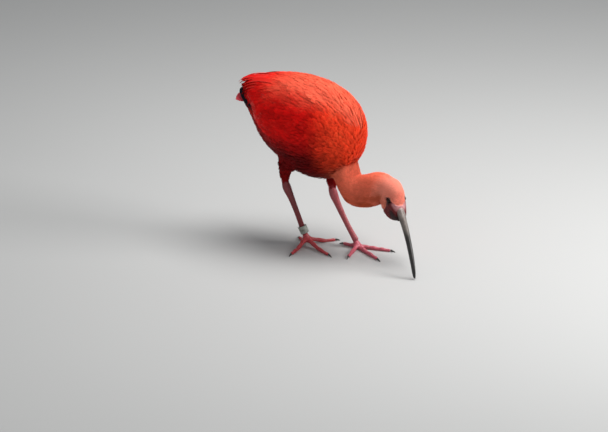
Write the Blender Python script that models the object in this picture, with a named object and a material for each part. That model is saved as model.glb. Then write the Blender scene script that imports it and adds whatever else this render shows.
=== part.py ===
"""Scarlet ibis, a life-size still model that stands and probes the ground with its bill.

Metres, +Z up, floor at z = 0. The bird faces +X and its left side is +Y. The right leg
is set back and wears a plain ring, the left leg is set forward, and the neck is held low
with the head turned to the bird's right. Each named part is one closed solid, parted from
its neighbours by a cut of GAP.
"""

from math import ceil, cos, pi, radians, sin, sqrt

import bmesh
import bpy
from mathutils import Vector

GAP = 0.0003

# Trunk: an egg that is fuller in front, its middle line sloping down to the breast.
TRUNK_REAR = -0.167
TRUNK_FRONT = 0.057
TRUNK_DEPTH = 0.165
TRUNK_WIDTH = 0.126
TRUNK_SKEW = 0.20
TRUNK_MIDDLE_Z = 0.2035
TRUNK_SLOPE = 0.018
TRUNK_SAG = 0.0145
TRUNK_SIDES = 32
TRUNK_RINGS = 20
TRUNK_END_SHARE = 0.45  # of a ring's spacing, left at both ends for a small flat

# Folded wings: shells on the trunk, which run on behind it as the tertial tips.
WING_TIP_HALF_DEPTH = 0.0225
WING_TIP_HALF_WIDTH = 0.0210
WING_SINK = 0.009
WING_RIM = 0.35
WING_RINGS = 15
WING_ARC = 9
WING_STATIONS = (  # x, upper edge and lower edge in degrees from the top, bulge
    (0.036, 64, 90, 0.001),
    (0.024, 46, 104, 0.004),
    (-0.010, 32, 115, 0.007),
    (-0.060, 21, 117, 0.008),
    (-0.108, 15, 110, 0.006),
    (-0.148, 13, 84, 0.004),
    (-0.177, 18, 42, 0.001),
)

# Folded outer primaries, a blade that shows below the tertials on each side.
PRIMARY_PATH = ((-0.115, 0.046, 0.211), (-0.138, 0.034, 0.226), (-0.162, 0.018, 0.2385))
PRIMARY_SIZES = ((0.0030, 0.013), (0.0026, 0.0105), (0.0014, 0.0035))
PRIMARY_RINGS = 8
PRIMARY_SIDES = 10

# Tail: twelve feathers closed into one wedge.
TAIL_PATH = ((-0.120, 0, 0.224), (-0.145, 0, 0.2295), (-0.166, 0, 0.2290), (-0.183, 0, 0.2250))
TAIL_SIZES = ((0.018, 0.016), (0.022, 0.0125), (0.0255, 0.0085), (0.0230, 0.0026))
TAIL_RINGS = 9
TAIL_SIDES = 16
TAIL_POWER = 2.4

# Head: stations along the culmen line, whose front end is the base of the culmen.
CULMEN_BASE = Vector((0.1400, -0.0155, 0.0995))
HEAD_PITCH = radians(-34)
HEAD_YAW = radians(-39)
HEAD_STATIONS = (  # ahead of the culmen base, to its left, top, bottom, half width, pitch, yaw
    (-0.046, -0.0045, 0.0095, -0.0385, 0.0205, -14, -18),
    (-0.033, -0.0015, 0.0118, -0.0475, 0.0194, -24, -32),
    (-0.021, 0.0000, 0.0110, -0.0495, 0.0172, -26, -39),
    (-0.011, 0.0000, 0.0078, -0.0410, 0.0147, -20, -39),
    (-0.001, 0.0000, 0.0025, -0.0285, 0.0122, -10, -39),
    (0.0070, 0.0000, -0.0005, -0.0215, 0.0092, 2, -39),
)

# Neck: x, y, z, half width, half depth, pitch and yaw in degrees; it starts in the trunk.
NECK_STATIONS = (
    (0.025, 0.000, 0.137, 0.029, 0.019, -50, 0),
    (0.0395, 0.000, 0.109, 0.0250, 0.0255, -14, 0),
    (0.060, 0.004, 0.107, 0.0222, 0.0275, 6, 5),
    (0.083, 0.0075, 0.1145, 0.0212, 0.0278, 6, -3),
)
NECK_LENGTHS = ("neck_lower", "neck_middle", "neck_upper")
NECK_SIDES = 24
NECK_POWER = 2.1
NECK_RINGS = 6
HEAD_RINGS = 13
HEAD_OVERHANG = 0.1  # of a station, by which the head's solid starts before its first row

# Bill: one circular arc in the head's middle plane, closed, with the upper and lower halves.
BILL_RISE = 0.0042  # of its middle line above the middle of the head's front face
BILL_LENGTH = 0.1140
BILL_BASE_PITCH = radians(-36)
BILL_TIP_PITCH = radians(-68)
BILL_RINGS = 12
BILL_SIDES = 8
BILL_SIZES = (  # along the length 0 to 1, half width, half depth
    (0.00, 0.0073, 0.0095),
    (0.16, 0.0058, 0.0073),
    (0.40, 0.0049, 0.0060),
    (0.70, 0.0042, 0.0050),
    (0.93, 0.0031, 0.0034),
    (1.00, 0.0012, 0.0014),
)
BILL_SLANT_SHARE = 0.2  # of the bill, along which its slanted base straightens out

# Eyes
EYE_RADIUS = 0.0055
EYE_BEHIND = 0.0230
EYE_BELOW = 0.0075
EYE_OUT = 0.0121
EYE_SEGMENTS = 12
EYE_RINGS = 8

# Legs: knee inside the trunk, feathered thigh, bare shank, heel joint, tarsus, foot.
FOOT_HEIGHT = 0.009
RIGHT_FOOT = Vector((-0.0425, -0.0155, FOOT_HEIGHT))
LEFT_FOOT = Vector((0.0370, 0.0155, FOOT_HEIGHT))
FOOT_RAISE = {"right": 0.0065, "left": 0.0}  # of the ball, which the toes slope down from
RIGHT_LEG = (  # x, y, z, half width, half depth
    (-0.052, -0.033, 0.166, 0.020, 0.024),
    (-0.070, -0.030, 0.142, 0.0130, 0.0160),
    (-0.0765, -0.0275, 0.121, 0.0075, 0.0088),
    (-0.0772, -0.0262, 0.109, 0.0048, 0.0056),
    (-0.0745, -0.0250, 0.096, 0.0062, 0.0078),
    (-0.0680, -0.0238, 0.082, 0.0048, 0.0060),
    (-0.0585, -0.0200, 0.0555, 0.0038, 0.0048),
    (-0.0485, -0.0168, 0.0270, 0.0042, 0.0050),
    (-0.0437, -0.0157, 0.0188, 0.0050, 0.0056),
)
LEFT_LEG = (
    (0.000, 0.030, 0.150, 0.020, 0.025),
    (-0.012, 0.0285, 0.126, 0.0135, 0.0165),
    (-0.0185, 0.0272, 0.106, 0.0085, 0.0100),
    (-0.0195, 0.0263, 0.095, 0.0052, 0.0060),
    (-0.0155, 0.0253, 0.082, 0.0062, 0.0078),
    (-0.0070, 0.0236, 0.0675, 0.0048, 0.0060),
    (0.0125, 0.0198, 0.0395, 0.0038, 0.0048),
    (0.0288, 0.0166, 0.0195, 0.0042, 0.0050),
    (0.0352, 0.0157, 0.0122, 0.0050, 0.0056),
)
LEG_SIDES = 10
THIGH_END = 2.35  # station numbers along a leg
SHANK_END = 4.0
LEG_RINGS_PER_STATION = 2
PATH_STEP = 0.01  # of a station, for the direction of a path

# Toes: heading in degrees from +X for each foot, then sizes shared by both feet.
TOE_HEADINGS = {
    "right": {"outer": -82, "middle": -24, "inner": 50, "hind": 148},
    "left": {"outer": 13, "middle": -28, "inner": -74, "hind": 181},
}
TOE_LENGTHS = {"outer": 0.058, "middle": 0.066, "inner": 0.050, "hind": 0.026}
TOE_JOINTS = {"outer": 4, "middle": 3, "inner": 2, "hind": 1}
TOE_ROOT_RADIUS = 0.0040
TOE_TIP_RADIUS = 0.0027
TOE_FLAT = 0.0007  # how far the floor cuts into the round of a toe
TOE_LANDING = 0.68  # share of a toe by which it is down on the floor
PAD_SWELL = 0.11
TOE_SIDES = 8
STUB_START = 0.001
STUB_LENGTH = 0.0165
STUB_RINGS = 4
HUB_RADIUS = 0.0062
HUB_SEGMENTS = 12
HUB_RINGS = 7
WEB_REACH = 0.0150
WEB_HOLLOW = 0.62  # of its reach, left between the toes
WEB_THICKNESS = 0.0022
CLAW_LENGTHS = {"outer": 0.0085, "middle": 0.0100, "inner": 0.0085, "hind": 0.0080}
CLAW_RADIUS = 0.0021
CLAW_NARROWNESS = 0.85
CLAW_HEIGHT = 0.00255  # of its middle line above the floor, at its root
CLAW_DROP = 0.0025  # brings the underside of its tip down to the floor
CLAW_TAPER = 0.78
CLAW_TAPER_POWER = 1.3
CLAW_SHARES = (0, 0.3, 0.6, 0.85, 1)
CLAW_SIDES = 8

# Ring on the right leg, a plain plastic band that hangs just above the foot.
RING_AT = 0.78  # share of the way down the tarsus
RING_OUTER = 0.0073
RING_INNER = 0.0060
RING_HEIGHT = 0.0125
RING_SLIP = -0.0004
RING_SIDES = 28

SHARP_ANGLE = radians(40)

COLOURS = {  # base colour, roughness
    "plumage": ((0.83, 0.055, 0.02), 0.75),
    "neck_plumage": ((0.85, 0.16, 0.08), 0.75),
    "primary_black": ((0.02, 0.015, 0.02), 0.6),
    "bill_horn": ((0.06, 0.045, 0.04), 0.4),
    "eye_dark": ((0.02, 0.012, 0.01), 0.08),
    "leg_skin": ((0.62, 0.13, 0.13), 0.5),
    "claw_horn": ((0.03, 0.028, 0.03), 0.4),
    "ring_plastic": ((0.55, 0.6, 0.52), 0.35),
}

left = Vector((0, 1, 0))
up = Vector((0, 0, 1))


def clear_scene():
    for obj in list(bpy.data.objects):
        bpy.data.objects.remove(obj, do_unlink=True)


def new_collection(name):
    made = bpy.data.collections.new(name)
    bpy.context.scene.collection.children.link(made)
    return made


def material(name):
    found = bpy.data.materials.get(name)
    if found:
        return found
    colour, roughness = COLOURS[name]
    made = bpy.data.materials.new(name)
    made.use_nodes = True
    shader = made.node_tree.nodes["Principled BSDF"]
    shader.inputs["Base Color"].default_value = (*colour, 1)
    shader.inputs["Roughness"].default_value = roughness
    shader.inputs["Metallic"].default_value = 0
    return made


def read_between(stations, at):
    """Values at a fractional station number, on a Catmull-Rom curve through the stations."""
    last = len(stations) - 1
    low = min(max(int(at), 0), last - 1)
    share = at - low
    rows = [stations[min(max(low + k, 0), last)] for k in (-1, 0, 1, 2)]
    blended = []
    for a, b, c, d in zip(*rows):
        curve = 2 * b + (c - a) * share
        curve += (2 * a - 5 * b + 4 * c - d) * share**2
        curve += (3 * b - a - 3 * c + d) * share**3
        blended.append(curve / 2)
    return blended


def heading(pitch, yaw):
    return Vector((cos(pitch) * cos(yaw), cos(pitch) * sin(yaw), sin(pitch)))


def oval(centre, forward, side_hint, half_width, half_depth, sides, power=2.0):
    """A ring of points across the forward direction, its depth at a right angle to side_hint."""
    lift = forward.cross(side_hint).normalized()
    side = lift.cross(forward).normalized()
    ring = []
    for k in range(sides):
        turn = 2 * pi * (k + 0.5) / sides
        across = abs(sin(turn)) ** (2 / power) * (1 if sin(turn) > 0 else -1)
        along = abs(cos(turn)) ** (2 / power) * (1 if cos(turn) > 0 else -1)
        ring.append(centre + side * half_width * across + lift * half_depth * along)
    return ring


def loft(name, rings, finish, collection, floor=False):
    """A closed solid through rings of the same number of points, with flat ends."""
    bm = bmesh.new()
    loops = []
    for ring in rings:
        placed = [Vector((p.x, p.y, max(p.z, 0.0))) if floor else p for p in ring]
        loops.append([bm.verts.new(p) for p in placed])
    for one, other in zip(loops, loops[1:]):
        for k in range(len(one)):
            after = (k + 1) % len(one)
            bm.faces.new((one[k], one[after], other[after], other[k]))
    bm.faces.new(loops[0])
    bm.faces.new(reversed(loops[-1]))
    bmesh.ops.recalc_face_normals(bm, faces=bm.faces)
    return finished(name, bm, finish, collection)


def finished(name, bm, finish, collection):
    mesh = bpy.data.meshes.new(name)
    bm.to_mesh(mesh)
    bm.free()
    mesh.materials.append(material(finish))
    mesh.shade_smooth()
    mesh.set_sharp_from_angle(angle=SHARP_ANGLE)
    obj = bpy.data.objects.new(name, mesh)
    collection.objects.link(obj)
    return obj


def as_cutter(obj, cutters):
    for holder in list(obj.users_collection):
        holder.objects.unlink(obj)
    cutters.objects.link(obj)
    obj.hide_render = True
    obj.display_type = "WIRE"
    return obj


def grown_copy(obj, cutters, distance=GAP):
    """A cutter with the shape of a finished part, larger by the gap all round."""
    evaluated = obj.evaluated_get(bpy.context.evaluated_depsgraph_get())
    mesh = bpy.data.meshes.new_from_object(evaluated)
    normals = [v.normal.copy() for v in mesh.vertices]
    for vertex, normal in zip(mesh.vertices, normals):
        vertex.co += normal * distance
    grown = bpy.data.objects.new(obj.name + "_grown", mesh)
    cutters.objects.link(grown)
    return as_cutter(grown, cutters)


def combine(obj, other, operation):
    modifier = obj.modifiers.new(operation.lower() + "_" + other.name, "BOOLEAN")
    modifier.operation = operation
    modifier.object = other
    modifier.solver = "EXACT"
    bpy.context.view_layer.update()


def trunk_section(x):
    """Middle height, half depth and half width of the trunk at x, and behind it."""
    middle = (TRUNK_REAR + TRUNK_FRONT) / 2
    along = max((x - middle) / (TRUNK_FRONT - middle), -1.0)
    swell = sqrt(max(1 - along**2, 0.0)) * (1 + TRUNK_SKEW * along)
    height = TRUNK_MIDDLE_Z - TRUNK_SLOPE * along + TRUNK_SAG * along**2
    return height, TRUNK_DEPTH / 2 * swell, TRUNK_WIDTH / 2 * swell


def make_trunk(parts):
    rings = []
    for k in range(TRUNK_RINGS):
        turn = pi * (k + TRUNK_END_SHARE) / (TRUNK_RINGS - 1 + 2 * TRUNK_END_SHARE)
        x = (TRUNK_REAR + TRUNK_FRONT) / 2 - (TRUNK_FRONT - TRUNK_REAR) / 2 * cos(turn)
        height, deep, wide = trunk_section(x)
        centre = Vector((x, 0, height))
        rings.append(oval(centre, Vector((1, 0, 0)), left, wide, deep, TRUNK_SIDES))
    return loft("trunk", rings, "plumage", parts)


def make_wing(side, parts):
    """A shell between an upper and a lower edge, sunk into the trunk, which cuts it back."""
    hand = 1 if side == "left" else -1
    rings = []
    for k in range(WING_RINGS):
        at = (len(WING_STATIONS) - 1) * k / (WING_RINGS - 1)
        x, top, low, bulge = read_between(WING_STATIONS, at)
        height, deep, wide = trunk_section(x)
        deep = max(deep, WING_TIP_HALF_DEPTH)
        wide = max(wide, WING_TIP_HALF_WIDTH)
        outer = []
        inner = []
        for j in range(WING_ARC):
            share = j / (WING_ARC - 1)
            turn = radians(top + (low - top) * share)
            out = bulge * (WING_RIM + (1 - WING_RIM) * sin(pi * share))
            for edge, row in ((out, outer), (-WING_SINK, inner)):
                y = hand * (wide + edge) * sin(turn)
                z = height + (deep + edge) * cos(turn)
                row.append(Vector((x, y, z)))
        rings.append(outer + inner[::-1])
    return loft("wing_" + side, rings, "plumage", parts)


def along_path(path, sizes, rings, sides, side_hint, power=2.0, start=0.0, end=None):
    """Rings across a smooth path between two station numbers."""
    last = len(path) - 1
    end = last if end is None else end
    made = []
    for k in range(rings):
        at = start + (end - start) * k / (rings - 1)
        here = Vector(read_between(path, at))
        before = Vector(read_between(path, max(at - PATH_STEP, 0)))
        after = Vector(read_between(path, min(at + PATH_STEP, last)))
        wide, deep = read_between(sizes, at)
        forward = (after - before).normalized()
        made.append(oval(here, forward, side_hint, wide, deep, sides, power))
    return made


def make_primaries(side, parts):
    hand = 1 if side == "left" else -1
    path = [(x, y * hand, z) for x, y, z in PRIMARY_PATH]
    rings = along_path(path, PRIMARY_SIZES, PRIMARY_RINGS, PRIMARY_SIDES, left)
    return loft("primaries_" + side, rings, "primary_black", parts)


def make_tail(parts):
    rings = along_path(TAIL_PATH, TAIL_SIZES, TAIL_RINGS, TAIL_SIDES, left, TAIL_POWER)
    return loft("tail", rings, "plumage", parts)


def head_frame():
    ahead = heading(HEAD_PITCH, HEAD_YAW)
    head_left = up.cross(ahead).normalized()
    return ahead, head_left, ahead.cross(head_left).normalized()


def head_rows():
    """The head's stations in the same terms as the neck's: place, sizes, pitch and yaw."""
    ahead, head_left, crown = head_frame()
    rows = []
    for forward, beside, top, bottom, wide, pitch, yaw in HEAD_STATIONS:
        centre = CULMEN_BASE + ahead * forward + head_left * beside + crown * (top + bottom) / 2
        rows.append((*centre, wide, (top - bottom) / 2, pitch, yaw))
    return rows


def flesh_ring(rows, at, shift=0.0):
    x, y, z, wide, deep, pitch, yaw = read_between(rows, at)
    forward = heading(radians(pitch), radians(yaw))
    centre = Vector((x, y, z)) + forward * shift
    side = up.cross(forward).normalized()
    return oval(centre, forward, side, wide, deep, NECK_SIDES, NECK_POWER)


def flesh_length(name, rows, start, end, rings, parts):
    """One length of the neck and head, drawn back from both ends by half the gap."""
    made = []
    for k in range(rings):
        at = start + (end - start) * k / (rings - 1)
        shift = GAP / 2 if k == 0 else -GAP / 2 if k == rings - 1 else 0.0
        made.append(flesh_ring(rows, at, shift))
    return loft(name, made, "neck_plumage", parts)


def make_neck_and_head(parts):
    rows = [*NECK_STATIONS, *head_rows()]
    head_start = len(NECK_STATIONS) - HEAD_OVERHANG
    lengths = []
    for k, name in enumerate(NECK_LENGTHS):
        start = head_start * k / len(NECK_LENGTHS)
        end = head_start * (k + 1) / len(NECK_LENGTHS)
        lengths.append(flesh_length(name, rows, start, end, NECK_RINGS, parts))
    head = flesh_length("head", rows, head_start, len(rows) - 1, HEAD_RINGS, parts)
    return lengths, head


def bill_root():
    """Where the bill's middle line leaves the head's front face, and that face's pitch."""
    ahead, head_left, crown = head_frame()
    forward, _, top, bottom, _, pitch, _ = HEAD_STATIONS[-1]
    pitch = radians(pitch)
    face = heading(pitch, HEAD_YAW)
    middle = CULMEN_BASE + ahead * forward + crown * (top + bottom) / 2
    return middle + face.cross(head_left) * BILL_RISE + face * GAP / 2, pitch


def bill_point(share):
    """Place and direction of the bill's middle line, on an arc that bends down evenly."""
    start, _ = bill_root()
    pitch = BILL_BASE_PITCH + (BILL_TIP_PITCH - BILL_BASE_PITCH) * share
    radius = BILL_LENGTH / (BILL_TIP_PITCH - BILL_BASE_PITCH)
    level = radius * (sin(pitch) - sin(BILL_BASE_PITCH))
    drop = -radius * (cos(pitch) - cos(BILL_BASE_PITCH))
    place = start + heading(0, HEAD_YAW) * level + up * drop
    return place, heading(pitch, HEAD_YAW)


def bill_sizes(share):
    for low, high in zip(BILL_SIZES, BILL_SIZES[1:]):
        if share <= high[0]:
            part = (share - low[0]) / (high[0] - low[0])
            return [a + (b - a) * part for a, b in zip(low[1:], high[1:])]
    return BILL_SIZES[-1][1:]


def make_bill(name, upper, parts):
    """Half of the bill, with a flat face along the line where the two halves close."""
    _, head_left, _ = head_frame()
    slant = BILL_BASE_PITCH - bill_root()[1]
    hand = 1 if upper else -1
    rings = []
    for k in range(BILL_RINGS):
        share = k / (BILL_RINGS - 1)
        place, forward = bill_point(share)
        wide, deep = bill_sizes(share)
        crown = forward.cross(head_left)
        tilt = slant * max(1 - share / BILL_SLANT_SHARE, 0)
        ring = []
        for j in range(BILL_SIDES + 1):
            turn = pi * j / BILL_SIDES
            out = head_left * wide * cos(turn)
            rise = deep * sin(turn) + GAP / 2
            lean = forward * rise * hand * sin(tilt)
            ring.append(place + out + crown * rise * hand * cos(tilt) + lean)
        rings.append(ring)
    return loft(name, rings, "bill_horn", parts)


def make_eye(name, side, radius, collection):
    ahead, head_left, crown = head_frame()
    hand = 1 if side == "left" else -1
    place = CULMEN_BASE - ahead * EYE_BEHIND - crown * EYE_BELOW + head_left * hand * EYE_OUT
    bm = bmesh.new()
    bmesh.ops.create_uvsphere(bm, u_segments=EYE_SEGMENTS, v_segments=EYE_RINGS, radius=radius)
    outward = (head_left * hand).to_track_quat("Z", "Y").to_matrix().to_4x4()
    bmesh.ops.transform(bm, matrix=outward, verts=bm.verts)
    bmesh.ops.translate(bm, vec=place, verts=bm.verts)
    return finished(name, bm, "eye_dark", collection)


def make_leg(side, stations, parts):
    """Thigh, shank and tarsus as three lengths of one limb."""
    path = [row[:3] for row in stations]
    sizes = [row[3:] for row in stations]
    last = len(stations) - 1
    made = {}
    bounds = (("thigh", 0, THIGH_END), ("shank", THIGH_END, SHANK_END), ("tarsus", SHANK_END, last))
    for name, start, end in bounds:
        finish = "plumage" if name == "thigh" else "leg_skin"
        count = ceil((end - start) * LEG_RINGS_PER_STATION) + 2
        rings = along_path(path, sizes, count, LEG_SIDES, left, 2.0, start, end)
        for ring, other in ((rings[0], rings[1]), (rings[-1], rings[-2])):
            inward = (centre_of(other) - centre_of(ring)).normalized() * GAP / 2
            for point in ring:
                point += inward
        made[name] = loft(f"{name}_{side}", rings, finish, parts)
    return made


def centre_of(ring):
    return sum(ring, Vector()) / len(ring)


def toe_radius(toe, distance):
    """A toe tapers to its claw and swells a little at each joint pad."""
    share = distance / TOE_LENGTHS[toe]
    radius = TOE_ROOT_RADIUS + (TOE_TIP_RADIUS - TOE_ROOT_RADIUS) * share
    return radius * (1 + PAD_SWELL * cos(2 * pi * TOE_JOINTS[toe] * share))


def toe_rise(side, toe, distance):
    """How far a toe's underside is off the floor at a distance from the ball of the foot."""
    share = min(distance / (TOE_LANDING * TOE_LENGTHS[toe]), 1)
    return FOOT_RAISE[side] * (1 + cos(pi * share)) / 2


def toe_rings(side, foot, angle, toe, start, end, count):
    direction = Vector((cos(angle), sin(angle), 0))
    rings = []
    for k in range(count):
        distance = start + (end - start) * k / (count - 1)
        radius = toe_radius(toe, distance)
        centre = foot + direction * distance
        centre.z = radius - TOE_FLAT + toe_rise(side, toe, distance)
        rings.append(oval(centre, direction, up.cross(direction), radius, radius, TOE_SIDES))
    return rings


def make_web(side, foot, first, second, cutters, name):
    """The short web between two toes, a thin wedge that is hollowed at its front edge."""
    bm = bmesh.new()
    base = []
    for angle, reach in ((first, 1), ((first + second) / 2, WEB_HOLLOW), (second, 1), (0, 0)):
        distance = WEB_REACH * reach
        place = foot + Vector((cos(angle), sin(angle), 0)) * distance
        base.append(bm.verts.new((place.x, place.y, toe_rise(side, "middle", distance))))
    faces = [bm.faces.new((base[0], base[1], base[3])), bm.faces.new((base[1], base[2], base[3]))]
    grown = bmesh.ops.extrude_face_region(bm, geom=faces)
    lifted = [v for v in grown["geom"] if isinstance(v, bmesh.types.BMVert)]
    bmesh.ops.translate(bm, vec=(0, 0, WEB_THICKNESS), verts=lifted)
    bmesh.ops.recalc_face_normals(bm, faces=bm.faces)
    return as_cutter(finished(name, bm, "leg_skin", cutters), cutters)


def make_foot(side, foot, parts, cutters):
    """The ball of the foot with the roots of the toes and the webs between them."""
    angles = {toe: radians(a) for toe, a in TOE_HEADINGS[side].items()}
    bm = bmesh.new()
    bmesh.ops.create_uvsphere(
        bm, u_segments=HUB_SEGMENTS, v_segments=HUB_RINGS, radius=HUB_RADIUS
    )
    centre = (foot.x, foot.y, HUB_RADIUS - TOE_FLAT + FOOT_RAISE[side])
    bmesh.ops.translate(bm, vec=centre, verts=bm.verts)
    for vertex in bm.verts:
        vertex.co.z = max(vertex.co.z, 0.0)
    hub = finished("foot_" + side, bm, "leg_skin", parts)
    for toe, angle in angles.items():
        rings = toe_rings(side, foot, angle, toe, STUB_START, STUB_LENGTH, STUB_RINGS)
        stub = loft(f"stub_{toe}_{side}", rings, "leg_skin", parts, floor=True)
        combine(hub, as_cutter(stub, cutters), "UNION")
    front = sorted(angles[toe] for toe in ("outer", "middle", "inner"))
    for k, pair in enumerate(zip(front, front[1:])):
        web = make_web(side, foot, *pair, cutters, f"web_{k}_{side}")
        combine(hub, web, "UNION")
    return hub


def make_toe(side, foot, toe, parts):
    angle = radians(TOE_HEADINGS[side][toe])
    length = TOE_LENGTHS[toe]
    count = 2 * TOE_JOINTS[toe] + 3
    rings = toe_rings(side, foot, angle, toe, STUB_LENGTH + GAP, length, count)
    return loft(f"toe_{toe}_{side}", rings, "leg_skin", parts, floor=True)


def make_claw(side, foot, toe, parts):
    """A curved horn that tapers and bends down from the end of a toe."""
    angle = radians(TOE_HEADINGS[side][toe])
    direction = Vector((cos(angle), sin(angle), 0))
    root = foot + direction * (TOE_LENGTHS[toe] + GAP)
    root.z = CLAW_HEIGHT
    length = CLAW_LENGTHS[toe]
    rings = []
    for share in CLAW_SHARES:
        radius = CLAW_RADIUS * (1 - CLAW_TAPER * share**CLAW_TAPER_POWER)
        centre = root + direction * length * share - up * CLAW_DROP * share**2
        narrow = radius * CLAW_NARROWNESS
        rings.append(oval(centre, direction, up.cross(direction), narrow, radius, CLAW_SIDES))
    return loft(f"claw_{toe}_{side}", rings, "claw_horn", parts, floor=True)


def make_ring(stations, parts):
    """A short plain tube round the right tarsus."""
    last = len(stations) - 1
    at = SHANK_END + (last - SHANK_END) * RING_AT
    here = Vector(read_between(stations, at)[:3])
    axis = (Vector(read_between(stations, at - PATH_STEP)[:3]) - here).normalized()
    side = up.cross(axis).normalized()
    fore = side.cross(axis).normalized()
    centre = here + fore * RING_SLIP
    bm = bmesh.new()
    loops = []
    corners = ((RING_OUTER, -1), (RING_OUTER, 1), (RING_INNER, 1), (RING_INNER, -1))
    for k in range(RING_SIDES):
        turn = 2 * pi * k / RING_SIDES
        out = side * cos(turn) + fore * sin(turn)
        places = [centre + out * r + axis * RING_HEIGHT / 2 * end for r, end in corners]
        loops.append([bm.verts.new(p) for p in places])
    for k, loop in enumerate(loops):
        after = loops[(k + 1) % RING_SIDES]
        for j in range(4):
            bm.faces.new((loop[j], after[j], after[(j + 1) % 4], loop[(j + 1) % 4]))
    bmesh.ops.recalc_face_normals(bm, faces=bm.faces)
    return finished("leg_ring", bm, "ring_plastic", parts)


def stand_at_origin(parts):
    """Moves everything so that the middle of the bird's box is over the origin."""
    graph = bpy.context.evaluated_depsgraph_get()
    corners = []
    for obj in parts.objects:
        mesh = obj.evaluated_get(graph).to_mesh()
        corners += [v.co.copy() for v in mesh.vertices]
    low = [min(c[k] for c in corners) for k in (0, 1)]
    high = [max(c[k] for c in corners) for k in (0, 1)]
    holder = bpy.data.objects.new("standpoint", None)
    bpy.context.scene.collection.objects.link(holder)
    holder.location = (-(low[0] + high[0]) / 2, -(low[1] + high[1]) / 2, 0)
    for obj in list(bpy.data.objects):
        if obj is not holder:
            obj.parent = holder
    bpy.context.view_layer.update()
    return holder


def main():
    clear_scene()
    parts = new_collection("scarlet_ibis")
    cutters = new_collection("cutters")

    trunk = make_trunk(parts)
    trunk_cutter = grown_copy(trunk, cutters)

    wing_cutters = {}
    for side in ("left", "right"):
        wing = make_wing(side, parts)
        combine(wing, trunk_cutter, "DIFFERENCE")
        wing_cutters[side] = grown_copy(wing, cutters)

    tail = make_tail(parts)
    combine(tail, trunk_cutter, "DIFFERENCE")
    tail_cutter = grown_copy(tail, cutters)
    for side in ("left", "right"):
        primaries = make_primaries(side, parts)
        combine(primaries, trunk_cutter, "DIFFERENCE")
        combine(primaries, wing_cutters[side], "DIFFERENCE")
        combine(primaries, tail_cutter, "DIFFERENCE")

    lengths, head = make_neck_and_head(parts)
    combine(lengths[0], trunk_cutter, "DIFFERENCE")
    neck_cutter = grown_copy(lengths[0], cutters)
    make_bill("bill_upper", True, parts)
    make_bill("bill_lower", False, parts)
    for side in ("left", "right"):
        make_eye("eye_" + side, side, EYE_RADIUS, parts)
        socket = make_eye("socket_" + side, side, EYE_RADIUS + GAP, cutters)
        combine(head, as_cutter(socket, cutters), "DIFFERENCE")

    for side, foot, stations in (
        ("right", RIGHT_FOOT, RIGHT_LEG),
        ("left", LEFT_FOOT, LEFT_LEG),
    ):
        leg = make_leg(side, stations, parts)
        combine(leg["thigh"], trunk_cutter, "DIFFERENCE")
        if side == "left":
            combine(leg["thigh"], neck_cutter, "DIFFERENCE")
        hub = make_foot(side, foot, parts, cutters)
        combine(leg["tarsus"], grown_copy(hub, cutters), "DIFFERENCE")
        for toe in TOE_LENGTHS:
            make_toe(side, foot, toe, parts)
            make_claw(side, foot, toe, parts)
    make_ring(RIGHT_LEG, parts)
    stand_at_origin(parts)


main()
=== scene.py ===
# A scarlet ibis: skin, feathers, bill, eyes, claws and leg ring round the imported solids.
from math import cos, pi, radians, sin

import bmesh
import bpy
import numpy as np
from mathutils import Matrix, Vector, noise
from mathutils.bvhtree import BVHTree


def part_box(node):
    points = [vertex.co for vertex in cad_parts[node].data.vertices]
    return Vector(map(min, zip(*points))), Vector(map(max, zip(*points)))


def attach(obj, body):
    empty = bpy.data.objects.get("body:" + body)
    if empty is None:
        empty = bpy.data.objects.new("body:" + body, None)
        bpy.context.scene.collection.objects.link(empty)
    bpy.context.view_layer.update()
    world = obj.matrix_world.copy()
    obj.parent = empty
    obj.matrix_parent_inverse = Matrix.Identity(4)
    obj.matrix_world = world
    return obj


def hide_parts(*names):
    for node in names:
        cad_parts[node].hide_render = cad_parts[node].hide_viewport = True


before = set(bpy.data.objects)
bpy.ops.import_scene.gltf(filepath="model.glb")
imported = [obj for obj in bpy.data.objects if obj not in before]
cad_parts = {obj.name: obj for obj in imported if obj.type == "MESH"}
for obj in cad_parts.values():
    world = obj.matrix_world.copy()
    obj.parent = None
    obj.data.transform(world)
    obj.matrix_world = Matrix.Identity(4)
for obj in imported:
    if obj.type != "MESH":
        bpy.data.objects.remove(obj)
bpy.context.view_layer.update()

hands = {"left": 1, "right": -1}
sides = tuple(hands)
toes = ("outer", "middle", "inner", "hind")
mm = 0.001


def report(stage):
    print("ibis:", stage)


def middle(node):
    low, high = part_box(node)
    return (low + high) / 2


# camera, light, floor
view = {
    "azimuth": 33,  # degrees, round from the bird's right side towards its breast
    "elevation": 20,
    "distance": 6.0,
    "metresPerPixel": 0.00165,  # at the feet
    "frameWidth": 608,
    "sensorWidth": 36,
    "aimRight": -0.04785,  # from the middle between the feet to the middle of the frame
    "aimUp": 0.0497,
}
feetMiddle = Vector((-0.00567, 0.00531, 0))


def aim(obj, towards):
    obj.rotation_mode = "QUATERNION"
    obj.rotation_quaternion = (towards - obj.location).to_track_quat("-Z", "Y")


def viewAxes():
    turn, lift = radians(view["azimuth"]), radians(view["elevation"])
    back = Vector((sin(turn) * cos(lift), -cos(turn) * cos(lift), sin(lift)))
    right = Vector((cos(turn), sin(turn), 0))
    return right, back.cross(right), back


def makeCamera():
    right, upward, back = viewAxes()
    target = feetMiddle + right * view["aimRight"] + upward * view["aimUp"]
    lens = bpy.data.cameras.new("camera")
    lens.sensor_width = view["sensorWidth"]
    across = view["metresPerPixel"] * view["frameWidth"]
    lens.lens = view["sensorWidth"] * view["distance"] / across
    lens.clip_end = 50
    camera = bpy.data.objects.new("camera", lens)
    camera.location = target + back * view["distance"]
    aim(camera, target)
    bpy.context.scene.collection.objects.link(camera)
    bpy.context.scene.camera = camera


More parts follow.
